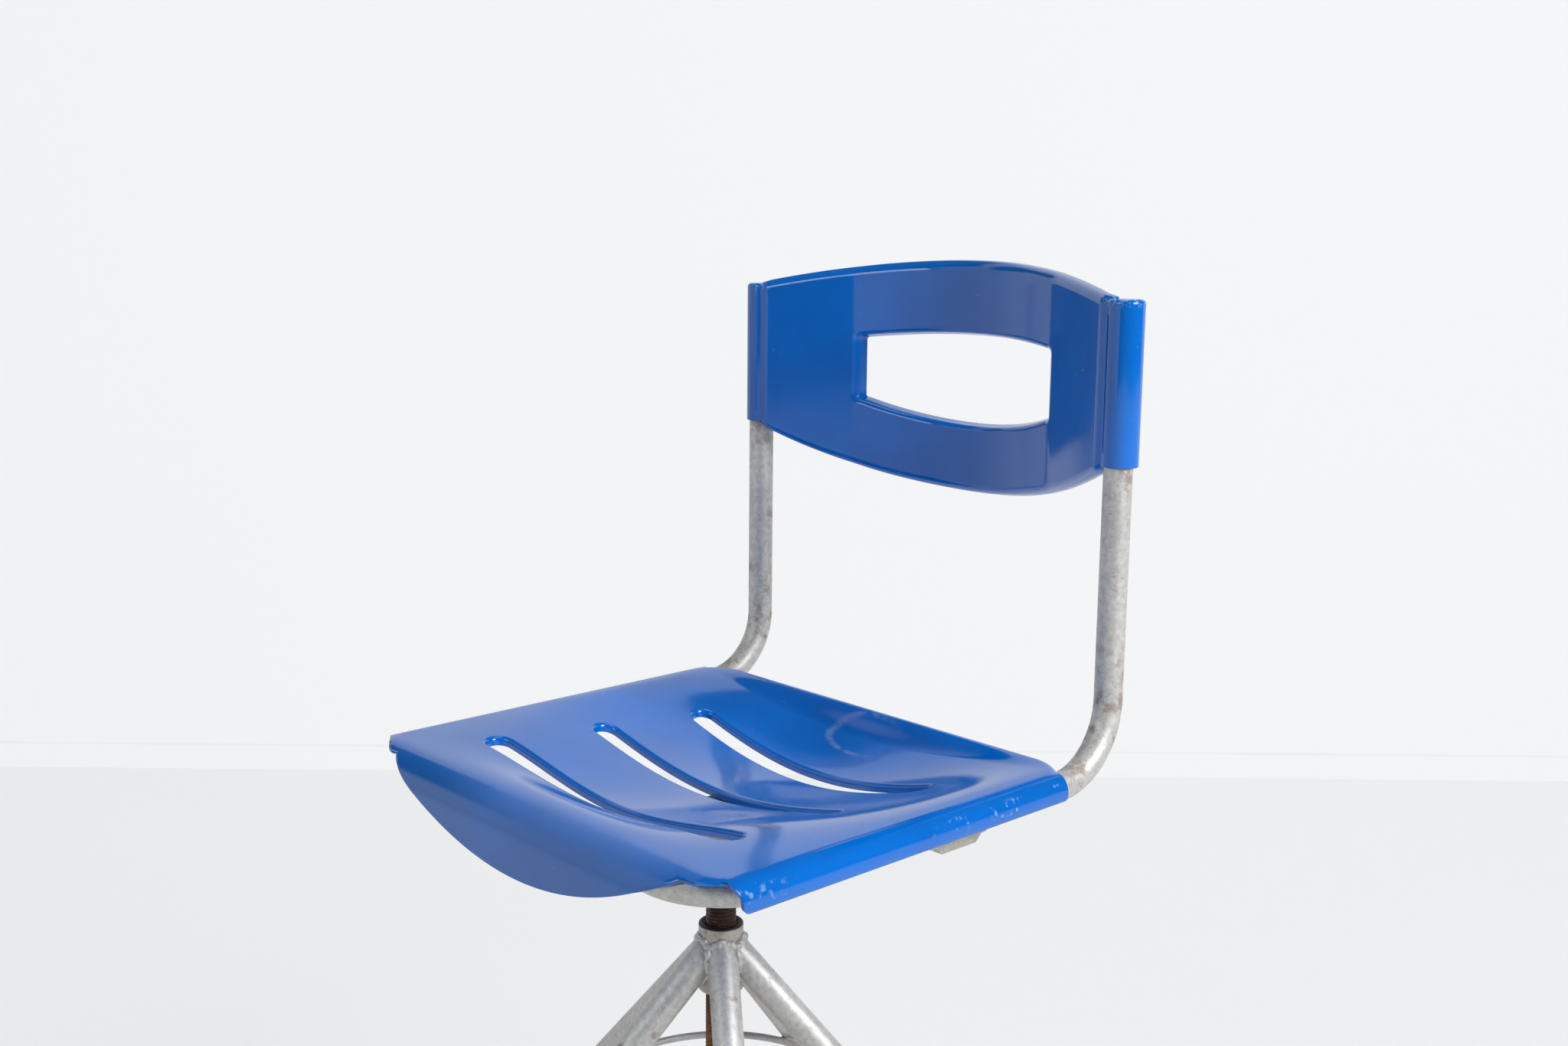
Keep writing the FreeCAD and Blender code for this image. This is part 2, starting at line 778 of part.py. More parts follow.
def make_ring_welds():
    """The weld at each crossing of hoop and leg, as one group."""
    wire_r = ring_wire_d / 2 + ring_gap
    welds = []
    for angle in leg_angles:
        heading = Vector(math.cos(math.radians(angle)), math.sin(math.radians(angle)), 0)
        along = Vector(-heading.y, heading.x, 0)
        centre = Vector(heading).multiply(ring_radius()).add(Vector(0, 0, ring_height))
        touch = Vector(heading).multiply(ring_radius() + ring_wire_d / 2).add(Vector(0, 0, ring_height))
        half = Vector(along).multiply(weld_length / 2)
        bead = round_bar(weld_d / 2, touch.sub(half), touch.add(half))
        wire = round_bar(wire_r, centre.sub(half), centre.add(half))
        bead = bead.cut([leg_bar(angle, leg_r, 0.0), wire])
        welds.append(max(bead.Solids, key=lambda solid: solid.Volume))
    return Part.makeCompound(welds)


# Fasteners

def make_seat_screws():
    """Four screws, from below through the cross member into the seat."""
    screws = []
    for x, y in seat_boss_places():
        shank = upright_cylinder(screw_d / 2, plate_top, plate_top + seat_screw_length, x, y)
        head = upright_cylinder(screw_head_d / 2, plate_top - screw_head, plate_top, x, y)
        screws.append(shank.fuse(head).removeSplitter())
    return Part.makeCompound(screws)


def back_screw_shank(side, gap=0.0):
    """A cross screw's shank, from the back of the sleeve through the tube's rear wall."""
    rear = upright_y + sleeve_set_back + sleeve_d / 2
    start = Vector(side * rail_x, upright_y + tube_r - 2 * tube_wall - gap, back_screw_height)
    return Part.makeCylinder(back_screw_d / 2 + gap, rear - start.y, start, Vector(0, 1, 0))


def make_back_screws():
    """Two screws that hold the sleeves on the uprights, from behind."""
    screws = []
    rear = upright_y + sleeve_set_back + sleeve_d / 2
    for side in (-1, 1):
        place = Vector(side * rail_x, rear, back_screw_height)
        head = Part.makeCylinder(back_screw_head_d / 2, back_screw_head, place, Vector(0, 1, 0))
        screws.append(back_screw_shank(side).fuse(head).removeSplitter())
    return Part.makeCompound(screws)


def build():
    """Every piece by name, about the swivel axis."""
    pieces = {
        "hub_tube": make_hub_tube(),
        "spindle_nut": make_spindle_nut(),
        "brace_ring": make_brace_ring(),
        "ring_welds": make_ring_welds(),
        "spindle": make_spindle(),
        "stop_washer": make_stop_washer(),
        "stop_bolt": make_stop_bolt(),
        "spindle_boss": make_spindle_boss(),
        "spindle_plate": make_spindle_plate(),
        "cross_member": make_cross_member(),
        "seat_shell": make_seat_shell(),
        "seat_screws": make_seat_screws(),
        "back_shell": make_back_shell(),
        "back_screws": make_back_screws(),
    }
    frame = make_seat_frame()
    for side in (-1, 1):
        frame = frame.cut(back_screw_shank(side, weld_gap))
    pieces["seat_frame"] = frame
    for k, angle in enumerate(leg_angles):
        pieces[f"leg_{k + 1}"] = make_leg(angle)
        pieces[f"foot_{k + 1}"] = make_foot(angle)
    return pieces


os.makedirs("parts", exist_ok=True)
for name, shape in build().items():
    shape.translate(Vector(axis_x, axis_y, 0))
    shape.exportStep(f"parts/{name}.step")
    bounds = shape.BoundBox
    print(name, "solids", len(shape.Solids), "valid", shape.isValid(), "volume", round(shape.Volume),
          "z", round(bounds.ZMin, 1), round(bounds.ZMax, 1))
print("ring radius", round(ring_radius(), 2), "axis", round(axis_x, 2), round(axis_y, 2))
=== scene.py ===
import json
import math

import bmesh
import bpy
from bpy.props import FloatProperty, FloatVectorProperty, IntProperty, PointerProperty
from mathutils import Matrix, Vector, noise
from mathutils.geometry import delaunay_2d_cdt
from mathutils.kdtree import KDTree


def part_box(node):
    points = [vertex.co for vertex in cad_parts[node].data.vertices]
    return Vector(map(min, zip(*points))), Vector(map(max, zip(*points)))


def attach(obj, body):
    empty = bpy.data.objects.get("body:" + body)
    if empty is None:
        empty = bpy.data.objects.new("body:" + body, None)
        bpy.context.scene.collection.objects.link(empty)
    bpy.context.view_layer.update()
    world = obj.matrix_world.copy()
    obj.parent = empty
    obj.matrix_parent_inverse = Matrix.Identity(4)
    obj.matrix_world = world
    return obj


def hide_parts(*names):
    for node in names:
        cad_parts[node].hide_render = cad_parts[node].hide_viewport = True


bl_info = {
    "name": "Swivel work stool",
    "version": (1, 0, 0),
    "blender": (4, 5, 0),
    "location": "3D View > Sidebar > Stool",
    "description": "Builds a worn screw-height work stool with a moulded plastic seat and backrest",
    "category": "Object",
}

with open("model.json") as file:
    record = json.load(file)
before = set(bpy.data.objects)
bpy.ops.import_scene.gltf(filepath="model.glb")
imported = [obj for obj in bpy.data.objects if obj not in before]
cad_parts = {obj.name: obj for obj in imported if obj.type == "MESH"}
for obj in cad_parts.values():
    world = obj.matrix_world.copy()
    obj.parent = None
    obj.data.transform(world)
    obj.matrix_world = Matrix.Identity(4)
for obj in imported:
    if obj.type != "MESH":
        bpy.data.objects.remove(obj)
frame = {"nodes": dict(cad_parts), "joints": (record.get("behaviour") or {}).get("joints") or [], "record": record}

MM = 0.001
WELD_SEED = 1


def joint_axis():
    """Where the swivel axis stands, in millimetres."""
    for joint in frame["joints"]:
        if joint["name"] == "seat_turn":
            return joint["pos_m"][0] / MM, joint["pos_m"][1] / MM
    raise RuntimeError("the frame has no seat_turn joint")


AXIS_X, AXIS_Y = joint_axis()


# Sizes and colours that a user would change


def length(name, description, default):
    """A size in millimetres."""
    return FloatProperty(name=name, description=description + ", in millimetres", default=default)


def angle(name, description, default):
    """An angle in degrees."""
    return FloatProperty(name=name, description=description + ", in degrees", default=default)


def grade(name, description, default):
    """A slope in hundredths."""
    return FloatProperty(name=name, description=description + ", in hundredths", default=default)


def colour(name, description, default):
    """A linear colour."""
    return FloatVectorProperty(
        name=name, description=description, default=default, size=3, min=0.0, max=1.0, subtype="COLOR"
    )


class SeatSizes(bpy.types.PropertyGroup):
    """The moulded seat, in millimetres about the swivel axis."""

    top: length("Top height", "Height of the seat's edge above the floor", 493.5)
    thickness: length("Shell thickness", "Thickness of the moulding", 3.2)
    rail_x: length("Rail distance", "From the middle to the centre of a side rail", 200.0)
    side_bend: length("Side bend", "Radius of the flanges that hook over the rails", 14.5)
    flange_front: length("Flange front", "Where the side flanges end in front", -166.0)
    lip_end: length("Lip end", "Where the front lip's edge turns back, from the middle", 184.0)
    flange_rear: length("Flange rear", "Where the side flanges end behind", 156.0)
    wrap: angle("Flange wrap", "How far the flanges reach under the rails", 25.0)
    front_y: length("Front", "Front of the hanging lip", -194.3)
    front_bend: length("Front bend", "Radius of the roll from the seat into the front lip", 24.0)
    front_corner: length("Front corner", "Radius of the plan's front corners, inside the bend", 14.0)
    rear_y: length("Rear", "Back of the rear edge", 173.2)
    rear_bend: length("Rear bend", "Radius of the rear edge", 7.0)
    rear_corner: length("Rear corner", "Radius of the plan's rear corners, inside the bend", 28.0)
    rear_drop: length("Rear drop", "How far the rear edge hangs in the middle", 9.0)
    rear_end_drop: length("Rear end drop", "How far the rear edge hangs where it crosses the rails", 3.0)
    rear_rise_y: length("Rear rise place", "Where the dish rises behind, from the swivel axis", 148.0)
    rear_rise_depth: length("Rear rise depth", "How deep the dish still is there", 19.5)
    lip_low: length("Lip height", "Lowest point of the front lip above the floor", 441.7)
    lip_radius: length("Lip curve", "Radius of the front lip's lower edge", 309.0)
    corner_drop: length("Corner drop", "How far the lip hangs at the seat's front corners", 3.2)
    slot_width: length("Slot width", "Width of the three slots", 20.0)
    slot_roll: length("Slot roll", "Radius of the slots' turned-down rims", 3.4)
    slot_depth: length("Slot depth", "How deep the slots' rims hang", 7.0)
    boss_x: length("Boss distance", "From the middle to each pair of screw bosses", 39.0)
    boss_y: length("Boss place", "From the swivel axis back to the middle of the screw bosses", 44.5)
    boss_pitch: length("Boss pitch", "Distance between the two bosses of a pair", 20.0)
    boss_radius: length("Boss radius", "Outside of a screw boss, at its lower end", 6.0)
    boss_bore: length("Boss bore", "Radius of the hole in a screw boss", 2.6)
    boss_low: length("Boss height", "Lower end of the screw bosses above the floor", 448.2)


class BackSizes(bpy.types.PropertyGroup):
    """The moulded backrest, in millimetres about the swivel axis."""

    sleeve_diameter: length("Sleeve diameter", "Outside of the sleeves over the uprights", 28.8)
    set_back: length("Sleeve set-back", "How far the sleeves stand behind the uprights' centre lines", 1.2)
    low: length("Sleeve bottom", "Open lower end of the sleeves", 716.7)
    high: length("Sleeve top", "Closed upper end of the sleeves", 841.8)
    rise: length("Rise", "How far the top bows up in the middle", 24.0)
    drop: length("Drop", "How far the bottom bows down in the middle", 49.0)
    depth: length("Depth", "How far the middle stands behind the uprights", 56.0)
    curve: length("Curve", "Where the middle's curve runs out straight, from the middle", 80.0)
    lean: grade("Panel slope", "How steeply the straight part beside the window runs forward", 36.5)
    wing: grade("Wing slope", "How steeply the two wings run forward", 51.0)
    crease: length("Crease", "Where the wings begin, from the middle", 110.0)
    window_half: length("Window half width", "Half the width of the opening", 105.8)
    window_low: length("Window bottom", "Lower end of the window's sides", 746.0)
    window_high: length("Window top", "Upper end of the window's sides", 795.4)
    window_rise: length("Window rise", "How far the window bows up in the middle", 7.0)
    window_drop: length("Window drop", "How far the window bows down in the middle", 18.7)
    window_corner: length("Window corner", "Radius of the window's corners", 2.6)
    thickness: length("Wall", "Thickness of the moulding", 3.6)
    rim: length("Rim", "How deep the rims turn back", 11.5)
    edge_roll: length("Edge roll", "Radius of the rolled outer edge", 9.0)
    window_roll: length("Window roll", "Radius of the window's rolled edge", 5.0)
    draft: length("Draft", "How far the window's rim leans in", 1.6)
    tuck: length("Tuck", "How far the panel's ends step back beside the sleeves", 3.2)


class FrameSizes(bpy.types.PropertyGroup):
    """The bent tube and the screw, in millimetres about the swivel axis."""

    tube: length("Tube diameter", "Outside of the bent tube", 22.0)
    rail_z: length("Rail height", "Height of the rails' centre line", 479.0)
    upright_y: length("Upright place", "Distance of the uprights behind the swivel axis", 220.0)
    front_cross_y: length("Front cross place", "Centre line of the tube across the front", -178.0)
    bend: length("Rear bend", "Centre-line radius between rail and upright", 58.0)
    corner: length("Front corner", "Centre-line radius of the front corners", 60.0)
    upright_top: length("Upright top", "Upper end of the uprights", 838.6)
    spindle: length("Spindle diameter", "Outside of the screw", 24.0)
    pitch: length("Thread pitch", "Rise of the thread in one turn", 3.0)
    thread_depth: length("Thread depth", "Depth of the thread", 1.5)


class BaseSizes(bpy.types.PropertyGroup):
    """The base, in millimetres about the swivel axis."""

    hub: length("Hub diameter", "Outside of the hub tube", 35.4)
    hub_top: length("Hub top", "Upper rim of the hub", 354.0)
    hub_low: length("Hub bottom", "Lower rim of the hub", 299.0)
    hub_wall: length("Hub wall", "Thickness of the hub tube", 3.0)
    leg: length("Leg diameter", "Outside of the leg tubes", 24.0)
    cross_height: length("Leg crossing", "Height where the legs' centre lines meet", 343.6)
    slope: angle("Leg slope", "Angle of the legs to the floor", 47.0)
    first_leg: angle("First leg", "Direction of the first leg", 37.0)
    ring_wire: length("Ring wire", "Diameter of the brace ring's wire", 6.0)
    ring_z: length("Ring height", "Height of the brace ring", 202.0)
    ring_radius: length("Ring radius", "Radius of the brace ring's centre line", 111.4)
    weld: length("Weld", "Half the width of the weld beads round the hub", 2.9)
    foot: length("Foot diameter", "Outside of the rubber feet", 30.1)
    foot_long: length("Foot length", "How much of a leg its foot takes in", 45.0)
    sole: length("Sole", "Height of a leg's cut end above the floor", 16.184)
    leg_count: IntProperty(name="Legs", description="Number of legs", default=5, min=3)


class Finishes(bpy.types.PropertyGroup):
    """The colours of the finishes."""

    plastic: colour("Plastic", "The moulded seat and backrest", (0.0, 0.145, 0.60))
    paint: colour("Frame paint", "Silver paint on the tubes", (0.60, 0.595, 0.575))
    hub: colour("Hub paint", "Rubbed paint on the hub", (0.50, 0.47, 0.42))
    rust: colour("Rust", "Rust in specks, corners and the thread", (0.17, 0.07, 0.028))
    thread: colour("Thread", "Greasy brown screw thread", (0.042, 0.017, 0.010))
    steel: colour("Steel", "Bare steel of the fasteners", (0.42, 0.40, 0.37))
    dark: colour("Dull paint", "Grey paint on the pressed steel below the seat", (0.44, 0.43, 0.40))
    rubber: colour("Rubber", "The feet", (0.022, 0.022, 0.022))
    wall: colour("Backdrop", "The pale wall behind the stool", (0.92, 0.925, 0.94))
    floor: colour("Floor", "The pale floor", (0.88, 0.885, 0.895))


GROUPS = {
    "stool_seat": SeatSizes,
    "stool_back": BackSizes,
    "stool_frame": FrameSizes,
    "stool_base": BaseSizes,
    "stool_finish": Finishes,
}


# Shader maths


class Value:
    """A shader socket that takes part in Python sums, in the tree of a finish."""

    def __init__(self, owner, socket):
        self.owner = owner
        self.socket = socket

    def sum(self, operation, *others):
        return self.owner.node("ShaderNodeMath", {"operation": operation}, (self, *others))

    def __add__(self, other):
        return self.sum("ADD", other)

    def __sub__(self, other):
        return self.sum("SUBTRACT", other)

    def __rsub__(self, other):
        return self.owner.node("ShaderNodeMath", {"operation": "SUBTRACT"}, (other, self))

    def __mul__(self, other):
        return self.sum("MULTIPLY", other)

    def __truediv__(self, other):
        return self.sum("DIVIDE", other)

    def __pow__(self, other):
        return self.sum("POWER", other)

    def __abs__(self):
        return self.sum("ABSOLUTE")

    __radd__ = __add__
    __rmul__ = __mul__

    def least(self, other):
        return self.sum("MINIMUM", other)

    def most(self, other):
        return self.sum("MAXIMUM", other)

    def rise(self, low, high):
        """0 below low, 1 above high, smooth between."""
        inputs = {"Value": self, "From Min": low, "From Max": high}
        return self.owner.node("ShaderNodeMapRange", {"interpolation_type": "SMOOTHSTEP"}, inputs)

    def fall(self, low, high):
        """1 below low, 0 above high, smooth between."""
        return 1.0 - self.rise(low, high)

    def band(self, start, full, fade, end):
        """1 between full and fade, 0 outside start and end, smooth between."""
        return self.rise(start, full) * self.fall(fade, end)


class Finish:
    """The node tree of a material or a world, with one method that adds any node."""

    def __init__(self, owner):
        owner.use_nodes = True
        self.owner = owner
        self.tree = owner.node_tree
        self.tree.nodes.clear()

    def node(self, kind, settings=None, inputs=(), output=0):
        """Adds a node: its settings first, then its sockets by place or name."""
        node = self.tree.nodes.new(kind)
        for key, value in (settings or {}).items():
            setattr(node, key, value)
        pairs = inputs.items() if isinstance(inputs, dict) else enumerate(inputs)
        for key, value in pairs:
            if isinstance(value, Value):
                self.tree.links.new(value.socket, node.inputs[key])
            elif isinstance(value, (tuple, list)) and node.inputs[key].type == "RGBA":
                node.inputs[key].default_value = (*value[:3], 1.0)
            else:
                node.inputs[key].default_value = value
        return Value(self, node.outputs[output]) if node.outputs else None

    def place(self):
        """The point on the piece, in metres in its own rest position."""
        return self.node("ShaderNodeTexCoord", output="Object")

    def parts(self, vector):
        """The three parts of a vector."""
        first = self.node("ShaderNodeSeparateXYZ", {}, {"Vector": vector})
        return [Value(self, socket) for socket in first.socket.node.outputs]

    def axes(self):
        """The point's three coordinates, in metres about the swivel axis."""
        x, y, z = self.parts(self.place())
        return x - AXIS_X * MM, y - AXIS_Y * MM, z

    def noise(self, scale, detail=2.0, roughness=0.5, at=None):
        """Soft noise, 0 to 1, about so many to the metre."""
        inputs = {"Vector": at or self.place(), "Scale": scale, "Detail": detail, "Roughness": roughness}
        return self.node("ShaderNodeTexNoise", {}, inputs)

    def mix(self, share, first, second):
        """A colour between two."""
        settings = {"data_type": "RGBA", "clamp_factor": True}
        return self.node("ShaderNodeMix", settings, {0: share, 6: first, 7: second}, output=2)

    def mix_shader(self, share, first, second):
        """A shader between two."""
        return self.node("ShaderNodeMixShader", {}, {0: share, 1: first, 2: second})

    def rays(self, *kinds):
        """Whether the ray is of one of these kinds."""
        found = [self.node("ShaderNodeLightPath", output=f"Is {kind} Ray") for kind in kinds]
        share = found[0]
        for other in found[1:]:
            share = share.most(other)
        return share

    def bump(self, height, strength, distance, under=None):
        """A normal from a height."""
        inputs = {"Height": height, "Strength": strength, "Distance": distance}
        if under is not None:
            inputs["Normal"] = under
        return self.node("ShaderNodeBump", {}, inputs)

    def surface(self, **sockets):
        """The closing shader. A socket's name has its spaces as underscores."""
        inputs = {key.replace("_", " "): value for key, value in sockets.items()}
        shader = self.node("ShaderNodeBsdfPrincipled", {}, inputs)
        self.node("ShaderNodeOutputMaterial", {}, {"Surface": shader})
        return self.owner


# Finishes


def times(tint, factor):
    """A colour made darker or paler."""
    return tuple(min(1.0, part * factor) for part in tint)


def hairs(f, turn, stretch, low):
    """Hair-thin scratches that run one way, turned by an angle."""
    across, upright, width = 1200.0, 260.0, 0.05
    inputs = {"Vector": f.place(), "Rotation": (0.0, 0.0, turn), "Scale": (stretch, across, upright)}
    return f.noise(1.0, 1.5, 0.6, f.node("ShaderNodeMapping", {}, inputs)).rise(low, low + width)


def wiped_ring(f, x, y, z):
    """A pale wiped arc on the seat, behind the rear slot."""
    middle_x, middle_y, half_long, half_wide = 0.012, 0.147, 0.040, 0.016
    u, v = (x - middle_x) / half_long, (y - middle_y) / half_wide
    off_ring = abs((u * u + v * v) ** 0.5 - 1.0)
    arc_part = off_ring.fall(0.02, 0.17) * u.fall(-0.2, 0.9) * f.noise(120.0, 2.0, 0.6).rise(0.3, 0.6)
    return arc_part * z.band(0.45, 0.46, 0.50, 0.51)


def plastic_finish():
    """Glossy blue moulded plastic, scratched all over and scuffed where it is knocked and handled."""
    f = Finish(bpy.data.materials.new("moulded_plastic"))
    base = tuple(bpy.context.scene.stool_finish.plastic)
    x, y, z = f.axes()
    side = abs(x)
    cloud = f.noise(9.0, 3.0, 0.55)
    tint = f.mix(cloud.rise(0.35, 0.7), times(base, 0.9), times(base, 1.06))
    patches = f.noise(16.0)
    scratches = hairs(f, 0.6, 40.0, 0.72) * patches.rise(0.50, 0.65)
    scratches = scratches.most(hairs(f, -0.9, 28.0, 0.74) * patches.fall(0.36, 0.48))
    flanges = z.band(0.4765, 0.4800, 0.4865, 0.4900) * side.rise(0.2085, 0.2105)
    blots = f.noise(210.0, 3.0, 0.6).rise(0.56, 0.66) * f.noise(52.0, 1.0).rise(0.42, 0.58)
    handled = y.band(-0.02, 0.07, 0.146, 0.154) * blots
    knocked = y.fall(-0.150, -0.115) * f.noise(160.0).rise(0.55, 0.68)
    caps = z.rise(0.8345, 0.8395) * side.rise(0.185, 0.189) * f.noise(330.0, 3.0, 0.6).rise(0.50, 0.60)
    sleeves = side.rise(0.2105, 0.2125) * z.rise(0.70, 0.72) * f.noise(140.0, 3.0, 0.6).rise(0.68, 0.73)
    scuffs = (flanges * handled.most(knocked * 0.7)).most(caps).most(sleeves * 0.6)
    wiped = wiped_ring(f, x, y, z)
    tint = f.mix(scratches * 0.30, tint, (0.25, 0.38, 0.70))
    tint = f.mix(scuffs * 0.55, tint, (0.30, 0.52, 0.82))
    tint = f.mix(wiped * 0.30, tint, (0.30, 0.42, 0.72))
    normal = f.bump(f.noise(24.0, 1.0, 0.4), 0.10, 0.0011)
    normal = f.bump(scratches.most(scuffs), 0.25, 0.0001, normal)
    dull = cloud * 0.04 + scratches * 0.18 + scuffs * 0.25 + wiped * 0.15 + 0.085
    return f.surface(Base_Color=tint, Roughness=dull, IOR=1.5, Normal=normal, Specular_IOR_Level=0.6)


def paint_finish(name, base, rust_share, dark_spots=0.5, greasy=False, hub_dark_top=0.349):
    """Silver paint on steel, mottled, speckled, stained with rust, and darkened in patches.

    Close to the hub, up to a height in metres, the paint is darker in patches. Without that height, everything
    that faces down is darker instead: painted shade on the undersides.
    """
    f = Finish(bpy.data.materials.new(name))
    rust = tuple(bpy.context.scene.stool_finish.rust)
    x, y, z = f.axes()
    from_axis = (x * x + y * y) ** 0.5
    mottle = f.noise(240.0, 4.0, 0.65).rise(0.33, 0.68)
    tint = f.mix(mottle, times(base, 0.84), times(base, 1.1))
    broad = f.noise(20.0, 3.0, 0.6)
    tint = f.mix(broad.rise(0.40, 0.72) * 0.35, tint, times(base, 0.72))
    rear_bend = z.fall(0.53, 0.62) * y.rise(0.1282, 0.1982)
    below_sleeves = z.rise(0.668, 0.712) * y.rise(0.1482, 0.1982)
    worn = rear_bend.most(below_sleeves)
    specks = f.noise(430.0, 2.0, 0.6).rise(0.63, 0.70)
    specks = specks * (broad.rise(0.40, 0.60) * 0.8 + worn * 0.5).least(1.0)
    tint = f.mix(specks * dark_spots, tint, (0.10, 0.08, 0.06))
    grime = f.noise(70.0, 4.0, 0.7)
    stain = (grime.rise(0.60, 0.72) * rust_share).most(worn * grime.rise(0.50, 0.66) * 0.6)
    tint = f.mix(stain, tint, rust)
    # Darker patches close to the hub, up to hub_dark_top. With no height given, the patches lie on everything that
    # faces down instead: painted shade.
    if hub_dark_top is None:
        hub_dark_and_underside_shade = f.parts(f.node("ShaderNodeNewGeometry", output="Normal"))[2].fall(-0.65, 0.25)
    else:
        hub_dark_and_underside_shade = from_axis.fall(0.0190, 0.0265) * z.band(0.296, 0.304, hub_dark_top - 0.004, hub_dark_top)
    tint = f.mix(hub_dark_and_underside_shade * stain.rise(0.33, 0.50) * 0.8, tint, (0.085, 0.065, 0.052))
    hoop = from_axis.fall(0.1145, 0.1160) * z.band(0.190, 0.195, 0.209, 0.214)
    tint = f.mix(hoop * (stain.rise(0.42, 0.62) * 0.5 + 0.25), tint, (0.14, 0.105, 0.08))
    metal = (0.50 - specks * 0.4 - stain * 0.5).most(0.0)
    rough = mottle * 0.08 + specks * 0.2 + stain * 0.25 + 0.47
    if greasy:
        grease = z.rise(0.3519, 0.3532)
        tint = f.mix(grease, tint, (0.020, 0.010, 0.008))
        metal = metal * (1.0 - grease)
        rim = z.rise(0.346, 0.352) * f.noise(150.0, 3.0, 0.6).rise(0.45, 0.65)
        tint = f.mix(rim * (1.0 - grease) * 0.5, tint, times(rust, 0.6))
    normal = f.bump(f.noise(620.0) + mottle * 0.4, 0.30, 0.0003)
    return f.surface(Base_Color=tint, Roughness=rough, Metallic=metal, Normal=normal)


def rusty_thread_finish():
    """Bare screw thread, brown with old grease above and orange with rust below."""
    f = Finish(bpy.data.materials.new("spindle_steel"))
    tints = bpy.context.scene.stool_finish
    z = f.axes()[2]
    grime = f.noise(180.0, 3.0, 0.6)
    brown = f.mix(grime.rise(0.35, 0.7), tuple(tints.thread), times(tints.thread, 1.9))
    orange = f.mix(grime.rise(0.4, 0.65), tuple(tints.rust), (0.34, 0.14, 0.04))
    tint = f.mix(z.fall(0.26, 0.33), brown, orange)
    crests = f.noise(90.0).rise(0.6, 0.75) * 0.35
    tint = f.mix(crests, tint, (0.30, 0.25, 0.21))
    normal = f.bump(grime, 0.5, 0.0005)
    return f.surface(Base_Color=tint, Roughness=0.42 + grime * 0.3, Metallic=0.35, Normal=normal)


def steel_finish(name, base, dullness):
    """Dull bare steel with light tarnish."""
    f = Finish(bpy.data.materials.new(name))
    tarnish = f.noise(150.0, 3.0, 0.6)
    tint = f.mix(tarnish.rise(0.4, 0.7), base, times(base, 0.62))
    rust = f.noise(320.0, 3.0, 0.6).rise(0.62, 0.72)
    tint = f.mix(rust * 0.6, tint, tuple(bpy.context.scene.stool_finish.rust))
    rough, metal = tarnish * 0.25 + dullness, 0.85 - rust * 0.5
    return f.surface(Base_Color=tint, Roughness=rough, Metallic=metal, Normal=f.bump(tarnish, 0.3, 0.0003))


def rubber_finish():
    """Matt black rubber, dusty all over."""
    f = Finish(bpy.data.materials.new("foot_rubber"))
    dust = f.noise(120.0, 3.0, 0.6).rise(0.45, 0.75)
    tint = f.mix(dust * 0.4, tuple(bpy.context.scene.stool_finish.rubber), (0.10, 0.10, 0.095))
    normal = f.bump(f.noise(900.0, 1.0), 0.3, 0.0002)
    return f.surface(Base_Color=tint, Roughness=0.62 + dust * 0.25, Normal=normal)


FINISHES = {}


def finish(slot):
    """The material of one of the record's slots, made once."""
    if slot not in FINISHES:
        tints = bpy.context.scene.stool_finish
        makers = {
            "seat_plastic": plastic_finish,
            "frame_paint": lambda: paint_finish("frame_paint", tuple(tints.paint), 0.5),
            "hub_paint": lambda: paint_finish("hub_paint", tuple(tints.hub), 0.4, 0.5, True, 0.336),
            # The weld beads get no hub height, so their paint darkens on their undersides: painted shade.
            "weld_metal": lambda: paint_finish("weld_metal", tuple(tints.paint), 0.35, 0.7, False, None),
            "spindle_steel": rusty_thread_finish,
            "nut_steel": lambda: steel_finish("nut_steel", times(tints.thread, 1.3), 0.45),
            "dark_steel": lambda: paint_finish("dark_steel", tuple(tints.dark), 0.3),
            "fastener_steel": lambda: steel_finish("fastener_steel", tuple(tints.steel), 0.35),
            "foot_rubber": rubber_finish,
        }
        FINISHES[slot] = makers[slot]()
    return FINISHES[slot]


# Mesh helpers


def at(x, y, z):
    """A point in metres in the row frame from millimetres about the swivel axis."""
    return Vector(((x + AXIS_X) * MM, (y + AXIS_Y) * MM, z * MM))


def piece(name, points, faces, body, slot, nodes=(), smooth=True):
    """Makes a mesh piece from millimetre points, hangs it from its body and hides the imported nodes it replaces.
    """
    mesh = bpy.data.meshes.new(name)
    mesh.from_pydata([at(*p) for p in points], [], faces)
    mesh.validate()
    made = bpy.data.objects.new(name, mesh)
    bpy.context.scene.collection.objects.link(made)
    work = bmesh.new()
    work.from_mesh(mesh)
    bmesh.ops.remove_doubles(work, verts=work.verts, dist=1e-6)
    bmesh.ops.recalc_face_normals(work, faces=work.faces)
    work.to_mesh(mesh)
    work.free()
    for polygon in mesh.polygons:
        polygon.use_smooth = smooth
    mesh.materials.append(finish(slot))
    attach(made, body)
    if nodes:
        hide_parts(*nodes)
    return made


def around(count):
    """Angles of equal steps once round, in radians."""
    return [2 * math.pi * k / count for k in range(count)]


def arc(x, y, radius, first, last, steps):
    """Points of an arc about a centre, between two angles in degrees."""
    turns = [math.radians(first + (last - first) * k / steps) for k in range(steps + 1)]
    return [(x + radius * math.cos(turn), y + radius * math.sin(turn)) for turn in turns]


def quads(rows, sides, closed=False):
    """Faces between rows of points that each go once round. Closed, the last row meets the first."""
    faces = []
    for k in range(rows if closed else rows - 1):
        a, b = k * sides, (k + 1) % rows * sides
        for j in range(sides):
            n = (j + 1) % sides
            faces.append((a + j, a + n, b + n, b + j))
    return faces


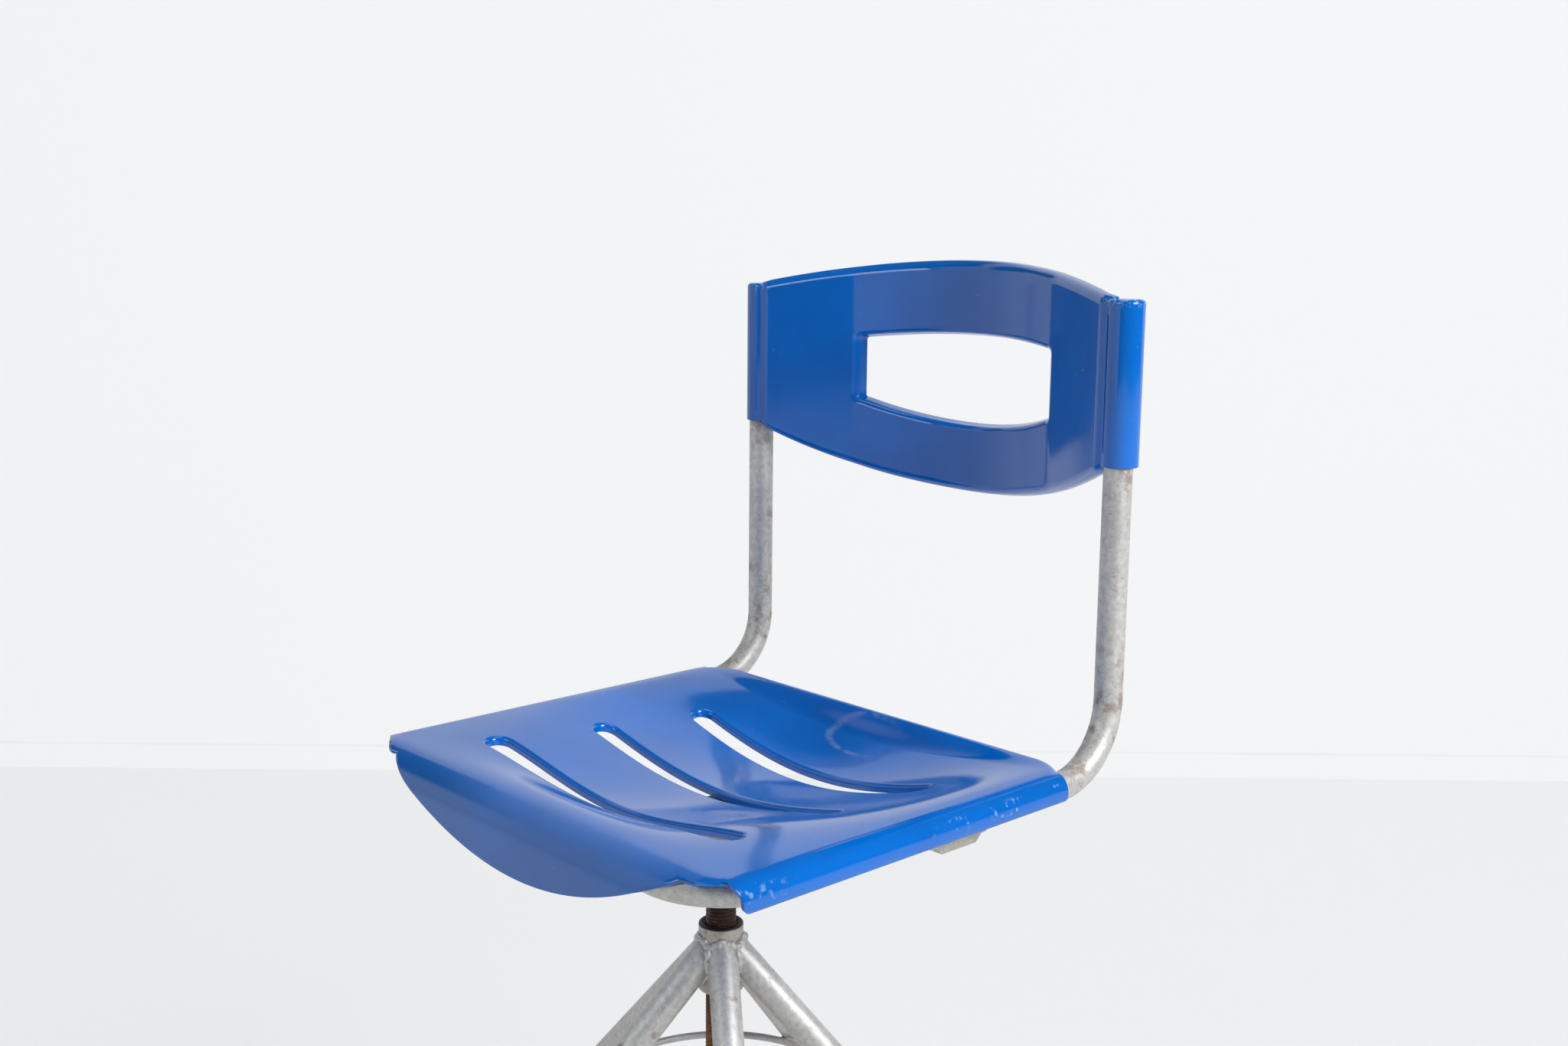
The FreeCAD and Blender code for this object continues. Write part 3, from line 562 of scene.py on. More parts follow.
def tube_along(path, radius, sides, closed=False):
    """Points and faces of a round bar along millimetre points. A list gives each point its own radius."""
    centres = [Vector(p) for p in path]
    count = len(centres)
    sizes = radius if isinstance(radius, list) else [radius] * count
    points = []
    side = None
    for k, centre in enumerate(centres):
        before = centres[k - 1] if k or closed else centre
        after = centres[(k + 1) % count] if k < count - 1 or closed else centre
        ahead = (after - before).normalized()
        if side is None:
            guess = Vector((0, 0, 1)) if abs(ahead.z) < 0.9 else Vector((1, 0, 0))
            side = ahead.cross(guess).normalized()
        side = (side - ahead * side.dot(ahead)).normalized()
        up = ahead.cross(side)
        for turn in around(sides):
            points.append(tuple(centre + side * math.cos(turn) * sizes[k] + up * math.sin(turn) * sizes[k]))
    faces = quads(count, sides, closed)
    if not closed:
        faces.append(tuple(range(sides))[::-1])
        faces.append(tuple(range((count - 1) * sides, count * sides)))
    return points, faces


def turned(profile, sides, x=0.0, y=0.0, closed=False):
    """Points and faces of a piece turned about an upright axis from (radius, height) pairs."""
    points = []
    for radius, height in profile:
        for turn in around(sides):
            points.append((x + radius * math.cos(turn), y + radius * math.sin(turn), height))
    return points, quads(len(profile), sides, closed)


def joined(*shapes):
    """Several (points, faces) as one."""
    points, faces = [], []
    for more, others in shapes:
        start = len(points)
        points += list(more)
        faces += [tuple(i + start for i in face) for face in others]
    return points, faces


def moved(shape, matrix):
    """A shape's (points, faces) put somewhere else."""
    points, faces = shape
    return [tuple(matrix @ Vector(p)) for p in points], faces


def bead(path, size, seed, closed=False):
    """Points and faces of a weld bead: a lumpy bar along millimetre points, the same in every run."""
    noise.seed_set(WELD_SEED)
    places, sizes = [], []
    for k, place in enumerate(path):
        here = Vector(place)
        lump = noise.noise(here * 0.42 + Vector((seed, 0.0, 0.0)))
        end = 1.0 if closed else min(1.0, (min(k, len(path) - 1 - k) + 0.5) / 2.5)
        sizes.append(size * end * (1.0 + 0.5 * lump + 0.12 * math.sin(2.1 * k)))
        places.append(here + noise.noise_vector(here * 0.33 + Vector((0.0, seed, 0.0))) * size * 0.35)
    return tube_along(places, sizes, 14, closed)


def soften(made, width):
    """Rounds a piece's sharp edges."""
    bevel = made.modifiers.new("round", "BEVEL")
    bevel.width = width * MM
    bevel.segments = 2
    bevel.limit_method = "ANGLE"
    bevel.angle_limit = math.radians(50.0)


def settled(made):
    """Applies a piece's modifiers."""
    graph = bpy.context.evaluated_depsgraph_get()
    mesh = bpy.data.meshes.new_from_object(made.evaluated_get(graph))
    made.modifiers.clear()
    made.data = mesh


def smooth(t):
    """A soft step from 0 to 1."""
    t = min(1.0, max(0.0, t))
    return t * t * (3 - 2 * t)


def eased(x, xs, ys):
    """A smooth curve through values at rising places, level at both ends."""
    inner = range(1, len(xs) - 1)
    slopes = [0.0] + [(ys[k + 1] - ys[k - 1]) / (xs[k + 1] - xs[k - 1]) for k in inner] + [0.0]
    if x <= xs[0]:
        return ys[0]
    for k in range(len(xs) - 1):
        if x <= xs[k + 1]:
            width = xs[k + 1] - xs[k]
            t = (x - xs[k]) / width
            values = (1 + 2 * t) * (1 - t) ** 2 * ys[k] + t * t * (3 - 2 * t) * ys[k + 1]
            return values + width * t * (1 - t) * ((1 - t) * slopes[k] - t * slopes[k + 1])
    return ys[-1]


def tilt(form, u, v):
    """Which way a form's surface faces at a place, from two short steps along it."""
    step = 0.25
    along_u = Vector(form(u + step, v)) - Vector(form(u - step, v))
    along_v = Vector(form(u, v + step)) - Vector(form(u, v - step))
    return along_u.cross(along_v).normalized()


def inside(x, y, ring):
    """Whether a point lies inside a closed ring of points."""
    found = False
    for k in range(len(ring)):
        (x0, y0), (x1, y1) = ring[k - 1], ring[k]
        if (y0 > y) != (y1 > y) and x < x0 + (y - y0) / (y1 - y0) * (x1 - x0):
            found = not found
    return found


def spaced(marks):
    """Rising places from (end, step) pairs, starting at the first pair's end."""
    places = [marks[0][0]]
    for end, step in marks[1:]:
        start = places[-1]
        count = max(1, round((end - start) / step))
        places += [start + (end - start) * (k + 1) / count for k in range(count)]
    return places


class Skin:
    """A flat plan in millimetres, laid on a curved form, with rims that hang from its rings."""

    def __init__(self, form):
        self.form = form
        self.plan, self.edges = [], []
        self.points, self.normals, self.faces = [], [], []
        self.new_index = {}

    def ring(self, places, bound=True):
        """Adds a closed ring of flat places. A bound ring keeps its edges."""
        start, count = len(self.plan), len(places)
        self.plan.extend(Vector(place) for place in places)
        if bound:
            self.edges.extend((start + k, start + (k + 1) % count) for k in range(count))
        return list(range(start, start + count))

    def lay(self, outer, wanted):
        """Fills the outer ring with faces, keeps the wanted ones, and lays them on the form."""
        inside, nearness = 1, 1e-4
        flat, _, faces, origins, _, _ = delaunay_2d_cdt(self.plan, self.edges, [outer], inside, nearness)
        self.new_index = {old: new for new, olds in enumerate(origins) for old in olds}
        self.points = [self.form(place.x, place.y) for place in flat]
        self.normals = [tilt(self.form, place.x, place.y) for place in flat]
        for face in faces:
            middle = sum((flat[k] for k in face), Vector((0.0, 0.0))) / len(face)
            if wanted(middle.x, middle.y):
                self.faces.append(tuple(face))

    def hang(self, ring, rims):
        """Hangs a strip from a ring. Each place of the ring has a rim of (point, facing) pairs."""
        last, count = [self.new_index[k] for k in ring], len(rims)
        for row in zip(*rims):
            start = len(self.points)
            self.points.extend(point for point, facing in row)
            self.normals.extend(facing for point, facing in row)
            for k in range(count):
                n = (k + 1) % count
                self.faces.append((last[k], last[n], start + n, start + k))
            last = list(range(start, start + count))

    def mould(self, name, node, front, thickness, rounding):
        """Makes the skin a shell that is thick behind its front, and shades it by its form."""
        made = piece(name, self.points, self.faces, "seat", "seat_plastic", [node])
        if sum(polygon.normal.dot(front) * polygon.area for polygon in made.data.polygons) < 0:
            made.data.flip_normals()
        solid = made.modifiers.new("thickness", "SOLIDIFY")
        solid.thickness = thickness * MM
        solid.offset = -1.0
        soften(made, rounding)
        settled(made)
        self.shade(made)

    def shade(self, made):
        """Shades a shell by its form, wherever a corner of it still lies on the skin."""
        tree = KDTree(len(self.points))
        for k, point in enumerate(self.points):
            tree.insert(at(*point), k)
        tree.balance()
        shading, on_skin = [], 0.002 * MM
        for corner in made.data.vertices:
            _, k, gap = tree.find(corner.co)
            shading.append(tuple(self.normals[k] if gap < on_skin else corner.normal))
        made.data.normals_split_custom_set_from_vertices(shading)


# Seat shell

# The three slots from front to rear: place, half length, depth of the dish and fullness of its section
SLOT_YS = (-112.0, -12.0, 88.0)
SLOT_HALVES = (148.0, 141.0, 135.0)
DISH_DEPTHS = (18.0, 30.0, 39.5)
DISH_FULLNESS = (2.8, 1.63, 1.45)


def seat_height(x, y):
    """The seat's upper face inside its rolled edges."""
    s = bpy.context.scene.stool_seat
    crest = s.front_y + s.front_bend + 3.0
    rear = s.rear_y - s.rear_bend
    depths = [0.0, *DISH_DEPTHS, s.rear_rise_depth, 0.0]
    depth = eased(y, [crest, *SLOT_YS, s.rear_rise_y, rear], depths)
    share = min(1.0, (x / (s.rail_x - 5.0)) ** 2)
    return s.top - depth * (1 - share) ** eased(y, SLOT_YS, DISH_FULLNESS)


def front_drop(x):
    """How far the front lip hangs below the seat's edge at x."""
    s = bpy.context.scene.stool_seat
    low = s.lip_low + x * x / (2 * s.lip_radius)
    return max(s.corner_drop, s.top - low)


def rear_drop(x):
    """How far the rear edge hangs at x. It is cut short where it crosses the rails."""
    s = bpy.context.scene.stool_seat
    share = smooth((abs(x) - s.rail_x + 32.0) / 16.0)
    return s.rear_drop * (1 - share) + s.rear_end_drop * share


def sheet_length(drop, bend):
    """How much sheet it takes to hang down by a drop over a bend."""
    if drop < bend:
        return bend * math.acos(1 - drop / bend)
    return bend * math.pi / 2 + drop - bend


def edge_offsets(length, bend):
    """How far out and down a length of sheet reaches over a bend."""
    turn = length / bend
    if turn < math.pi / 2:
        return bend * math.sin(turn), bend * (1 - math.cos(turn))
    return bend, bend + length - bend * math.pi / 2


def folded(u, v):
    """Where a point of the flat sheet comes to lie when its edges are rolled down."""
    s = bpy.context.scene.stool_seat
    if v < 0:
        edge, radius, bend = -(s.front_y + s.front_bend), s.front_corner, s.front_bend
    else:
        edge, radius, bend = s.rear_y - s.rear_bend, s.rear_corner, s.rear_bend
    dx = abs(u) - (s.rail_x - radius)
    dy = abs(v) - (edge - radius)
    if dx > 0 and dy > 0:
        reach = max(1e-6, math.hypot(dx, dy))
        way = (dx / reach, dy / reach)
        bend += (s.side_bend - bend) * way[0] ** 4
        over = reach - radius
    elif dy > dx:
        way, over = (0.0, 1.0), dy - radius
    else:
        way, over, bend = (1.0, 0.0), dx - radius, s.side_bend
    sign = (1.0 if u >= 0 else -1.0, 1.0 if v >= 0 else -1.0)
    if over <= 0:
        x, y, z = u, v, seat_height(u, v)
    else:
        out, down = edge_offsets(over, bend)
        foot = (abs(u) - way[0] * over, abs(v) - way[1] * over)
        x = sign[0] * (foot[0] + way[0] * out)
        y = sign[1] * (foot[1] + way[1] * out)
        z = seat_height(sign[0] * foot[0], sign[1] * foot[1]) - down
    share = smooth((abs(u) - s.rail_x + 1.0) / 8.0)
    if share == 0.0:
        return (x, y, z)
    turn = max(0.0, abs(u) - s.rail_x) / s.side_bend
    side_x = sign[0] * (min(abs(u), s.rail_x) + s.side_bend * math.sin(turn))
    side_z = s.top - s.side_bend * (1 - math.cos(turn))
    return (x + (side_x - x) * share, y + (v - y) * share, z + (side_z - z) * share)


def rounded_corner(before, corner, after, radius):
    """Points that round off a corner between two straight runs."""
    steps = 7
    a = (Vector(before) - Vector(corner)).normalized()
    b = (Vector(after) - Vector(corner)).normalized()
    half = a.angle(b) / 2
    run = radius / math.tan(half)
    start = Vector(corner) + a * run
    end = Vector(corner) + b * run
    points = []
    for k in range(steps + 1):
        t = k / steps
        blend = start * (1 - t) ** 2 + Vector(corner) * 2 * t * (1 - t) + end * t * t
        points.append((blend.x, blend.y))
    return points


def sheet_reach():
    """Half the width of the seat's flat sheet, to the ends of its wrapped flanges."""
    s = bpy.context.scene.stool_seat
    return s.rail_x + s.side_bend * math.radians(90.0 + s.wrap)


def rear_edge():
    """The rear edge of the flat sheet, from its middle round its corner to the flange."""
    s = bpy.context.scene.stool_seat
    edge, radius, step = s.rear_y - s.rear_bend, s.rear_corner, 4.0
    places = []
    x = 0.0
    while x < s.rail_x - radius:
        places.append((x, edge + sheet_length(rear_drop(x), s.rear_bend)))
        x += step
    centre = (s.rail_x - radius, edge - radius)
    for k in range(40):
        turn = math.radians(90.0 - 2.5 * k)
        way = (math.cos(turn), math.sin(turn))
        long = radius + sheet_length(rear_drop(centre[0] + way[0] * radius), s.rear_bend + 2.0)
        place = (centre[0] + way[0] * long, centre[1] + way[1] * long)
        if place[1] < s.flange_rear:
            break
        places.append(place)
    return places


def sheet_outline():
    """The seat's outline as a flat sheet, from the middle of the front round to the middle of the rear."""
    s = bpy.context.scene.stool_seat
    step, flange_steps = 4.0, 70
    reach, edge = sheet_reach(), s.front_y + s.front_bend
    lip = [step * k for k in range(int(s.lip_end / step) - 1)]
    line = [(x, edge - sheet_length(front_drop(x), s.front_bend)) for x in lip]
    lip_turn, waist = (s.lip_end, line[-1][1]), (s.rail_x - 8.0, s.flange_front - 7.5)
    notch, heel = (s.rail_x + 3.0, s.flange_front - 3.5), (s.rail_x + 17.0, s.flange_front)
    corner, rear_corner = (reach, s.flange_front), (reach, s.flange_rear)
    rear = rear_edge()
    rear_notch = (rear[-1][0] + 1.0, s.flange_rear)
    line += rounded_corner(line[-1], lip_turn, waist, 3.5)
    line += rounded_corner(waist, notch, heel, 3.0)
    line += rounded_corner(notch, heel, corner, 3.0)
    line += rounded_corner(heel, corner, rear_corner, 7.5)
    flange = s.flange_rear - s.flange_front
    line += [(reach, s.flange_front + flange * k / flange_steps) for k in range(2, flange_steps - 1)]
    line += rounded_corner(corner, rear_corner, rear_notch, 3.0)
    line += rounded_corner(rear_corner, rear_notch, rear[-3], 4.0)
    return line + rear[:-2][::-1]


def slot_outline(y, half, growth):
    """The outline of a round-ended slot, grown by a margin, with each place's way into the slot."""
    s = bpy.context.scene.stool_seat
    radius, straight = s.slot_width / 2 + growth, half - s.slot_width / 2
    end_steps, side_steps = 14, 60
    places = []
    for side in (1, -1):
        for k in range(end_steps):
            turn = math.radians(-90.0 + 180.0 * k / end_steps)
            way = (-side * math.cos(turn), -side * math.sin(turn))
            places.append(((side * straight - way[0] * radius, y - way[1] * radius), way))
        for k in range(side_steps):
            x = side * (straight - 2 * straight * k / side_steps)
            places.append(((x, y + side * radius), (0, -side)))
    return places


def slot_gap(x, y):
    """How far a place lies outside the nearest slot's rolled rim."""
    s = bpy.context.scene.stool_seat
    gaps = []
    for middle, half in zip(SLOT_YS, SLOT_HALVES):
        straight = half - s.slot_width / 2
        gaps.append(math.hypot(max(0.0, abs(x) - straight), y - middle) - s.slot_width / 2 - s.slot_roll)
    return min(gaps)


def slot_rim(x, y, way):
    """The turned-down rim at one place of a slot's outline, as pairs of a point and the way it faces."""
    s = bpy.context.scene.stool_seat
    z = seat_height(x, y)
    level, inward = tilt(folded, x, y), Vector((way[0], way[1], 0.0))
    rim = []
    for k in range(1, 7):
        turn = math.radians(15.0 * k)
        out, down = s.slot_roll * math.sin(turn), s.slot_roll * (1 - math.cos(turn))
        facing = (level * math.cos(turn) + inward * math.sin(turn)).normalized()
        rim.append(((x + way[0] * out, y + way[1] * out, z - down), facing))
    low = (*rim[-1][0][:2], z - s.slot_depth)
    return rim + [(low, rim[-1][1])]


class STOOL_OT_seat_shell(bpy.types.Operator):
    """Moulds the seat: dished skin, rolled edges and slots with turned-down rims"""

    bl_idname = "stool.seat_shell"
    bl_label = "Seat shell"

    def execute(self, context):
        s = context.scene.stool_seat
        skin = Skin(folded)
        right = sheet_outline()
        outline = right + [(-u, v) for u, v in right[-2:0:-1]]
        outer = skin.ring(outline)
        slots, row_gaps = [], (2.4, 5.2)
        for y, half in zip(SLOT_YS, SLOT_HALVES):
            places = slot_outline(y, half, s.slot_roll)
            slots.append((skin.ring([place for place, way in places]), places))
            for growth in row_gaps:
                skin.ring([place for place, way in slot_outline(y, half, s.slot_roll + growth)], False)
        self.fill(skin, outline)
        skin.lay(outer, lambda u, v: slot_gap(u, v) > 0.0)
        for ring, places in slots:
            skin.hang(ring, [slot_rim(*place, way) for place, way in places])
        skin.mould("seat_moulding", "seat_shell", Vector((0.0, 0.0, 1.0)), s.thickness, 0.9)
        self.bosses(s)
        return {"FINISHED"}

    @staticmethod
    def fill(skin, outline):
        """Adds a grid of places inside the outline, clear of it and of the slots' rings."""
        s = bpy.context.scene.stool_seat
        clear_of_slots, clear_of_edge = 7.2, 1.5
        coarse, fine, rear_fine, side_start, rear_start = 4.0, 2.4, 2.0, 184.0, 140.0
        across = spaced([(0.0, coarse), (side_start, coarse), (sheet_reach(), fine)])
        lowest, highest = min(v for u, v in outline), max(v for u, v in outline)
        front_end = s.front_y + 22.0
        along = spaced([(lowest, fine), (front_end, fine), (rear_start, coarse), (highest, rear_fine)])
        for u in [-u for u in across[:0:-1]] + across:
            for v in along:
                if slot_gap(u, v) < clear_of_slots or not inside(u, v, outline):
                    continue
                if min((u - a) ** 2 + (v - b) ** 2 for a, b in outline) > clear_of_edge ** 2:
                    skin.plan.append(Vector((u, v)))

    @staticmethod
    def bosses(s):
        """The four screw bosses under the dish."""
        ys = (s.boss_y - s.boss_pitch / 2, s.boss_y + s.boss_pitch / 2)
        for k, (x, y) in enumerate((x, y) for x in (-s.boss_x, s.boss_x) for y in ys):
            profile = [(s.boss_bore, s.boss_low), (s.boss_radius - 0.6, s.boss_low)]
            profile += [(s.boss_radius, s.boss_low + 0.6)]
            profile += [(s.boss_radius + 0.3, seat_height(x, y) - s.thickness / 2)]
            piece(f"seat_boss_{k + 1}", *turned(profile, 32, x, y), "seat", "seat_plastic")


# Backrest shell


def back_line(x):
    """The backrest in plan: how far behind the swivel axis its face stands at x."""
    b, f = bpy.context.scene.stool_back, bpy.context.scene.stool_frame
    x, power, soft, tuck_start, tuck_long = abs(x), 2.3, 5.5, 184.0, 9.0
    near = min(x, b.curve)
    fall = x - b.curve / power * (1 - (1 - near / b.curve) ** power)
    over = x - b.crease
    beyond = 0.0 if over < -soft else over if over > soft else (over + soft) ** 2 / (4 * soft)
    fall = (fall * b.lean + beyond * (b.wing - b.lean)) / 100.0
    return f.upright_y + b.depth - fall + b.tuck * smooth((x - tuck_start) / tuck_long)


def back_point(x, z):
    """A place on the backrest's face."""
    return (x, back_line(x), z)


def bow(x, half, rise):
    """The height of a shallow arc at x, nought at its ends."""
    radius = (half * half + rise * rise) / (2 * rise)
    return math.sqrt(max(0.0, radius * radius - x * x)) - (radius - rise)


def back_top(x, inset):
    """The backrest's upper edge at x, moved in."""
    b = bpy.context.scene.stool_back
    rail = bpy.context.scene.stool_seat.rail_x
    return b.high - inset + bow(min(abs(x), rail), rail, b.rise)


def back_bottom(x, inset):
    """The backrest's lower edge at x, moved in."""
    b = bpy.context.scene.stool_back
    rail = bpy.context.scene.stool_seat.rail_x
    return b.low + inset - bow(min(abs(x), rail), rail, b.drop)


def window_top(x, growth):
    """The window's upper edge at x, moved out."""
    b = bpy.context.scene.stool_back
    return b.window_high + growth + bow(x, b.window_half + growth, b.window_rise)


def window_bottom(x, growth):
    """The window's lower edge at x, moved out."""
    b = bpy.context.scene.stool_back
    return b.window_low - growth - bow(x, b.window_half + growth, b.window_drop)


def back_end():
    """Half the length of the panel, which ends inside the sleeves."""
    return bpy.context.scene.stool_seat.rail_x - 3.0


def back_ring(inset):
    """The panel's outline, moved in, with each place's way out. The ends have none."""
    end, count, rows = back_end(), 110, 30
    low, high = back_bottom(end, inset), back_top(end, inset)
    xs = [-end + 2 * end * k / count for k in range(count + 1)]
    zs = [low + (high - low) * k / rows for k in range(1, rows)]
    ways = [0.0] + [1.0] * (count - 1) + [0.0]
    places = [((x, back_bottom(x, inset)), (0.0, -way)) for x, way in zip(xs, ways)]
    places += [((end, z), (0.0, 0.0)) for z in zs]
    places += [((-x, back_top(-x, inset)), (0.0, way)) for x, way in zip(xs, ways)]
    return places + [((-end, z), (0.0, 0.0)) for z in reversed(zs)]


def window_ring(growth):
    """The window's outline, moved out, with each place's way into the window."""
    b = bpy.context.scene.stool_back
    corner = b.window_corner + growth
    flat = b.window_half + growth - corner
    low, high = window_bottom(flat, growth) + corner, window_top(flat, growth) - corner
    long_steps, side_steps = 34, 14
    xs = [flat * k / long_steps for k in range(long_steps + 1)]
    half = [(x, window_bottom(x, growth)) for x in xs]
    half += arc(flat, low, corner, -81.0, -9.0, 8)
    half += [(flat + corner, low + (high - low) * k / side_steps) for k in range(side_steps + 1)]
    half += arc(flat, high, corner, 9.0, 81.0, 8)
    half += [(x, window_top(x, growth)) for x in reversed(xs)]
    ring = half + [(-x, z) for x, z in half[-2:0:-1]]
    places = []
    for k, place in enumerate(ring):
        before, after = ring[k - 1], ring[(k + 1) % len(ring)]
        along = Vector((after[0] - before[0], after[1] - before[1])).normalized()
        places.append((place, (-along.y, along.x)))
    return places


def on_panel(x, z):
    """Whether a place lies on the flat of the panel, clear of both rolls' near rings."""
    b = bpy.context.scene.stool_back
    inset, reach = b.edge_roll + 4.5, b.window_roll + 6.5
    if not back_bottom(x, inset) < z < back_top(x, inset):
        return False
    return abs(x) > b.window_half + reach or not window_bottom(x, reach) < z < window_top(x, reach)


def back_rim(x, z, way, roll, draft):
    """The turned-back rim at one place of a ring, as pairs of a point and the way it faces."""
    b = bpy.context.scene.stool_back
    level, outward = tilt(back_point, x, z), Vector((way[0], 0.0, way[1]))
    rows = []
    for k in range(1, 8):
        turn = math.radians(12.0 * k)
        rows.append((roll * math.sin(turn), roll * (1 - math.cos(turn)), turn))
    rows.append((roll + draft / 2, (rows[-1][1] + b.rim) / 2, math.pi / 2))
    rows.append((roll + draft, b.rim, math.pi / 2))
    rim = []
    for out, deep, turn in rows:
        facing = (level * math.cos(turn) + outward * math.sin(turn)).normalized()
        x_out = x + way[0] * out
        rim.append(((x_out, back_line(x_out) + deep, z + way[1] * out), facing))
    return rim


class STOOL_OT_back_shell(bpy.types.Operator):
    """Moulds the backrest: bowed panel with two wings, a window and turned-back rims"""

    bl_idname = "stool.back_shell"
    bl_label = "Backrest shell"

    def execute(self, context):
        b = context.scene.stool_back
        skin = Skin(back_point)
        edge, window = back_ring(b.edge_roll), window_ring(b.window_roll + b.draft)
        edge_ring = skin.ring([place for place, way in edge])
        opening = [place for place, way in window]
        window_edge = skin.ring(opening)
        skin.ring([place for place, way in back_ring(b.edge_roll + 2.2) if way[1]], False)
        skin.ring([place for place, way in window_ring(b.window_roll + b.draft + 2.4)], False)
        end, wing, coarse, fine = back_end() - 2.5, 160.0, 3.2, 2.4
        heights = spaced([(back_bottom(0.0, 0.0), coarse), (back_top(0.0, 0.0), coarse)])
        for x in spaced([(-end, fine), (-wing, fine), (wing, coarse), (end, fine)]):
            skin.plan.extend(Vector((x, z)) for z in heights if on_panel(x, z))
        skin.lay(edge_ring, lambda x, z: not inside(x, z, opening))
        skin.hang(edge_ring, [back_rim(*place, way, b.edge_roll, 0.0) for place, way in edge])
        skin.hang(window_edge, [back_rim(*place, way, b.window_roll, b.draft) for place, way in window])
        skin.mould("back_moulding", "back_shell", Vector((0.0, -1.0, 0.0)), b.thickness, 0.8)
        self.sleeves(context)
        return {"FINISHED"}

    @staticmethod
    def sleeves(context):
        """The two blind sleeves over the uprights."""
        b, f = context.scene.stool_back, context.scene.stool_frame
        radius, bore = b.sleeve_diameter / 2, f.tube / 2 + 0.3
        top, foot, chamfer = 3.4, 1.2, 0.8
        profile = [(bore, f.upright_top), (bore, b.low + chamfer), (bore + chamfer, b.low)]
        profile += arc(radius - foot, b.low + foot, foot, -90.0, 0.0, 6)
        profile += arc(radius - top, b.high - top, top, 0.0, 90.0, 7)
        profile += [(radius * 0.4, b.high), (0.05, b.high)]
        for side, name in ((1, "left"), (-1, "right")):
            x = side * context.scene.stool_seat.rail_x
            sleeve = turned(profile, 72, x, f.upright_y + b.set_back)
            piece("back_sleeve_" + name, *sleeve, "seat", "seat_plastic")


# Bent tube frame


def frame_path():
    """The centre line of the bent tube, from one upright's top to the other's."""
    f = bpy.context.scene.stool_frame
    rail = bpy.context.scene.stool_seat.rail_x
    straight, bent = 12, 24
    start, end = f.upright_y - f.bend, f.front_cross_y + f.corner
    half = []
    for k in range(straight + 1):
        half.append((rail, f.upright_y, f.upright_top + (f.rail_z + f.bend - f.upright_top) * k / straight))
    half += [(rail, y, z) for y, z in arc(start, f.rail_z + f.bend, f.bend, 0.0, -90.0, bent)[1:]]
    half += [(rail, start + (end - start) * k / straight, f.rail_z) for k in range(1, straight + 1)]
    half += [(x, y, f.rail_z) for x, y in arc(rail - f.corner, end, f.corner, 0.0, -90.0, bent)[1:]]
    return half + [(-x, y, z) for x, y, z in reversed(half)]


class STOOL_OT_seat_frame(bpy.types.Operator):
    """Bends the tube of the seat frame"""

    bl_idname = "stool.seat_frame"
    bl_label = "Seat frame"

    def execute(self, context):
        f = context.scene.stool_frame
        points, faces = tube_along(frame_path(), f.tube / 2, 40)
        piece("frame_tube", points, faces, "seat", "frame_paint", ["seat_frame"])
        return {"FINISHED"}


# Screw


class STOOL_OT_spindle(bpy.types.Operator):
    """Cuts the screw thread of the spindle"""

    bl_idname = "stool.spindle"
    bl_label = "Spindle"

    def execute(self, context):
        f = context.scene.stool_frame
        low, high = (corner.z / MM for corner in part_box("spindle"))
        radius, sides, lead_in, core_gap = f.spindle / 2, 48, 2.0, 1.6
        tooth = (0.0, 0.55, 1.0, 1.0, 0.55, 0.0)
        per_turn = len(tooth)
        rows = int((high - low) / f.pitch * per_turn) + 1 + per_turn
        points, faces = [], []
        for row in range(rows):
            for j, turn in enumerate(around(sides)):
                z = low + (row / per_turn - 1.0 + j / sides) * f.pitch
                size = radius - f.thread_depth * (1 - tooth[row % per_turn])
                if z < low + lead_in:
                    size -= min(f.thread_depth, (low + lead_in - z) * 0.75)
                points.append((size * math.cos(turn), size * math.sin(turn), min(high, max(low, z))))
        for row in range(rows - 1):
            a, b = row * sides, (row + 1) * sides
            faces += [(a + j, a + j + 1, b + j + 1, b + j) for j in range(sides - 1)]
            next_a, next_b = a + per_turn * sides, b + per_turn * sides
            if next_b < rows * sides:
                faces.append((a + sides - 1, next_a, next_b, b + sides - 1))
        piece("spindle_thread", points, faces, "seat", "spindle_steel", ["spindle"])
        core = radius - core_gap
        rod = turned([(0.05, low), (core, low), (core, high), (0.05, high)], 32)
        piece("spindle_core", *rod, "seat", "spindle_steel", smooth=False)
        return {"FINISHED"}


# Base


def leg_headings():
    """The direction of each leg round the axis, in radians."""
    b = bpy.context.scene.stool_base
    return [math.radians(b.first_leg + 360.0 * k / b.leg_count) for k in range(b.leg_count)]


def about_axis(heading, x, y, z):
    """A place given along and across a heading."""
    return (x * math.cos(heading) - y * math.sin(heading), x * math.sin(heading) + y * math.cos(heading), z)


def on_leg(heading, turn, at_hub):
    """A place on a leg's tube, at an angle round it: where it meets the hub, or the next leg."""
    b = bpy.context.scene.stool_base
    slope, radius = math.radians(b.slope), b.leg / 2
    y = radius * math.cos(turn)
    x = math.sqrt(b.hub * b.hub / 4 - y * y) if at_hub else y / math.tan(math.pi / b.leg_count)
    along = (x - radius * math.sin(turn) * math.sin(slope)) / math.cos(slope)
    z = b.cross_height - along * math.sin(slope) + radius * math.sin(turn) * math.cos(slope)
    return about_axis(heading, x, y, z)


def weld_line(heading, first, last, steps, at_hub):
    """Places along a weld on a leg's tube, between two angles round it in degrees."""
    turns = [math.radians(first + (last - first) * k / steps) for k in range(steps + 1)]
    return [on_leg(heading, turn, at_hub) for turn in turns]


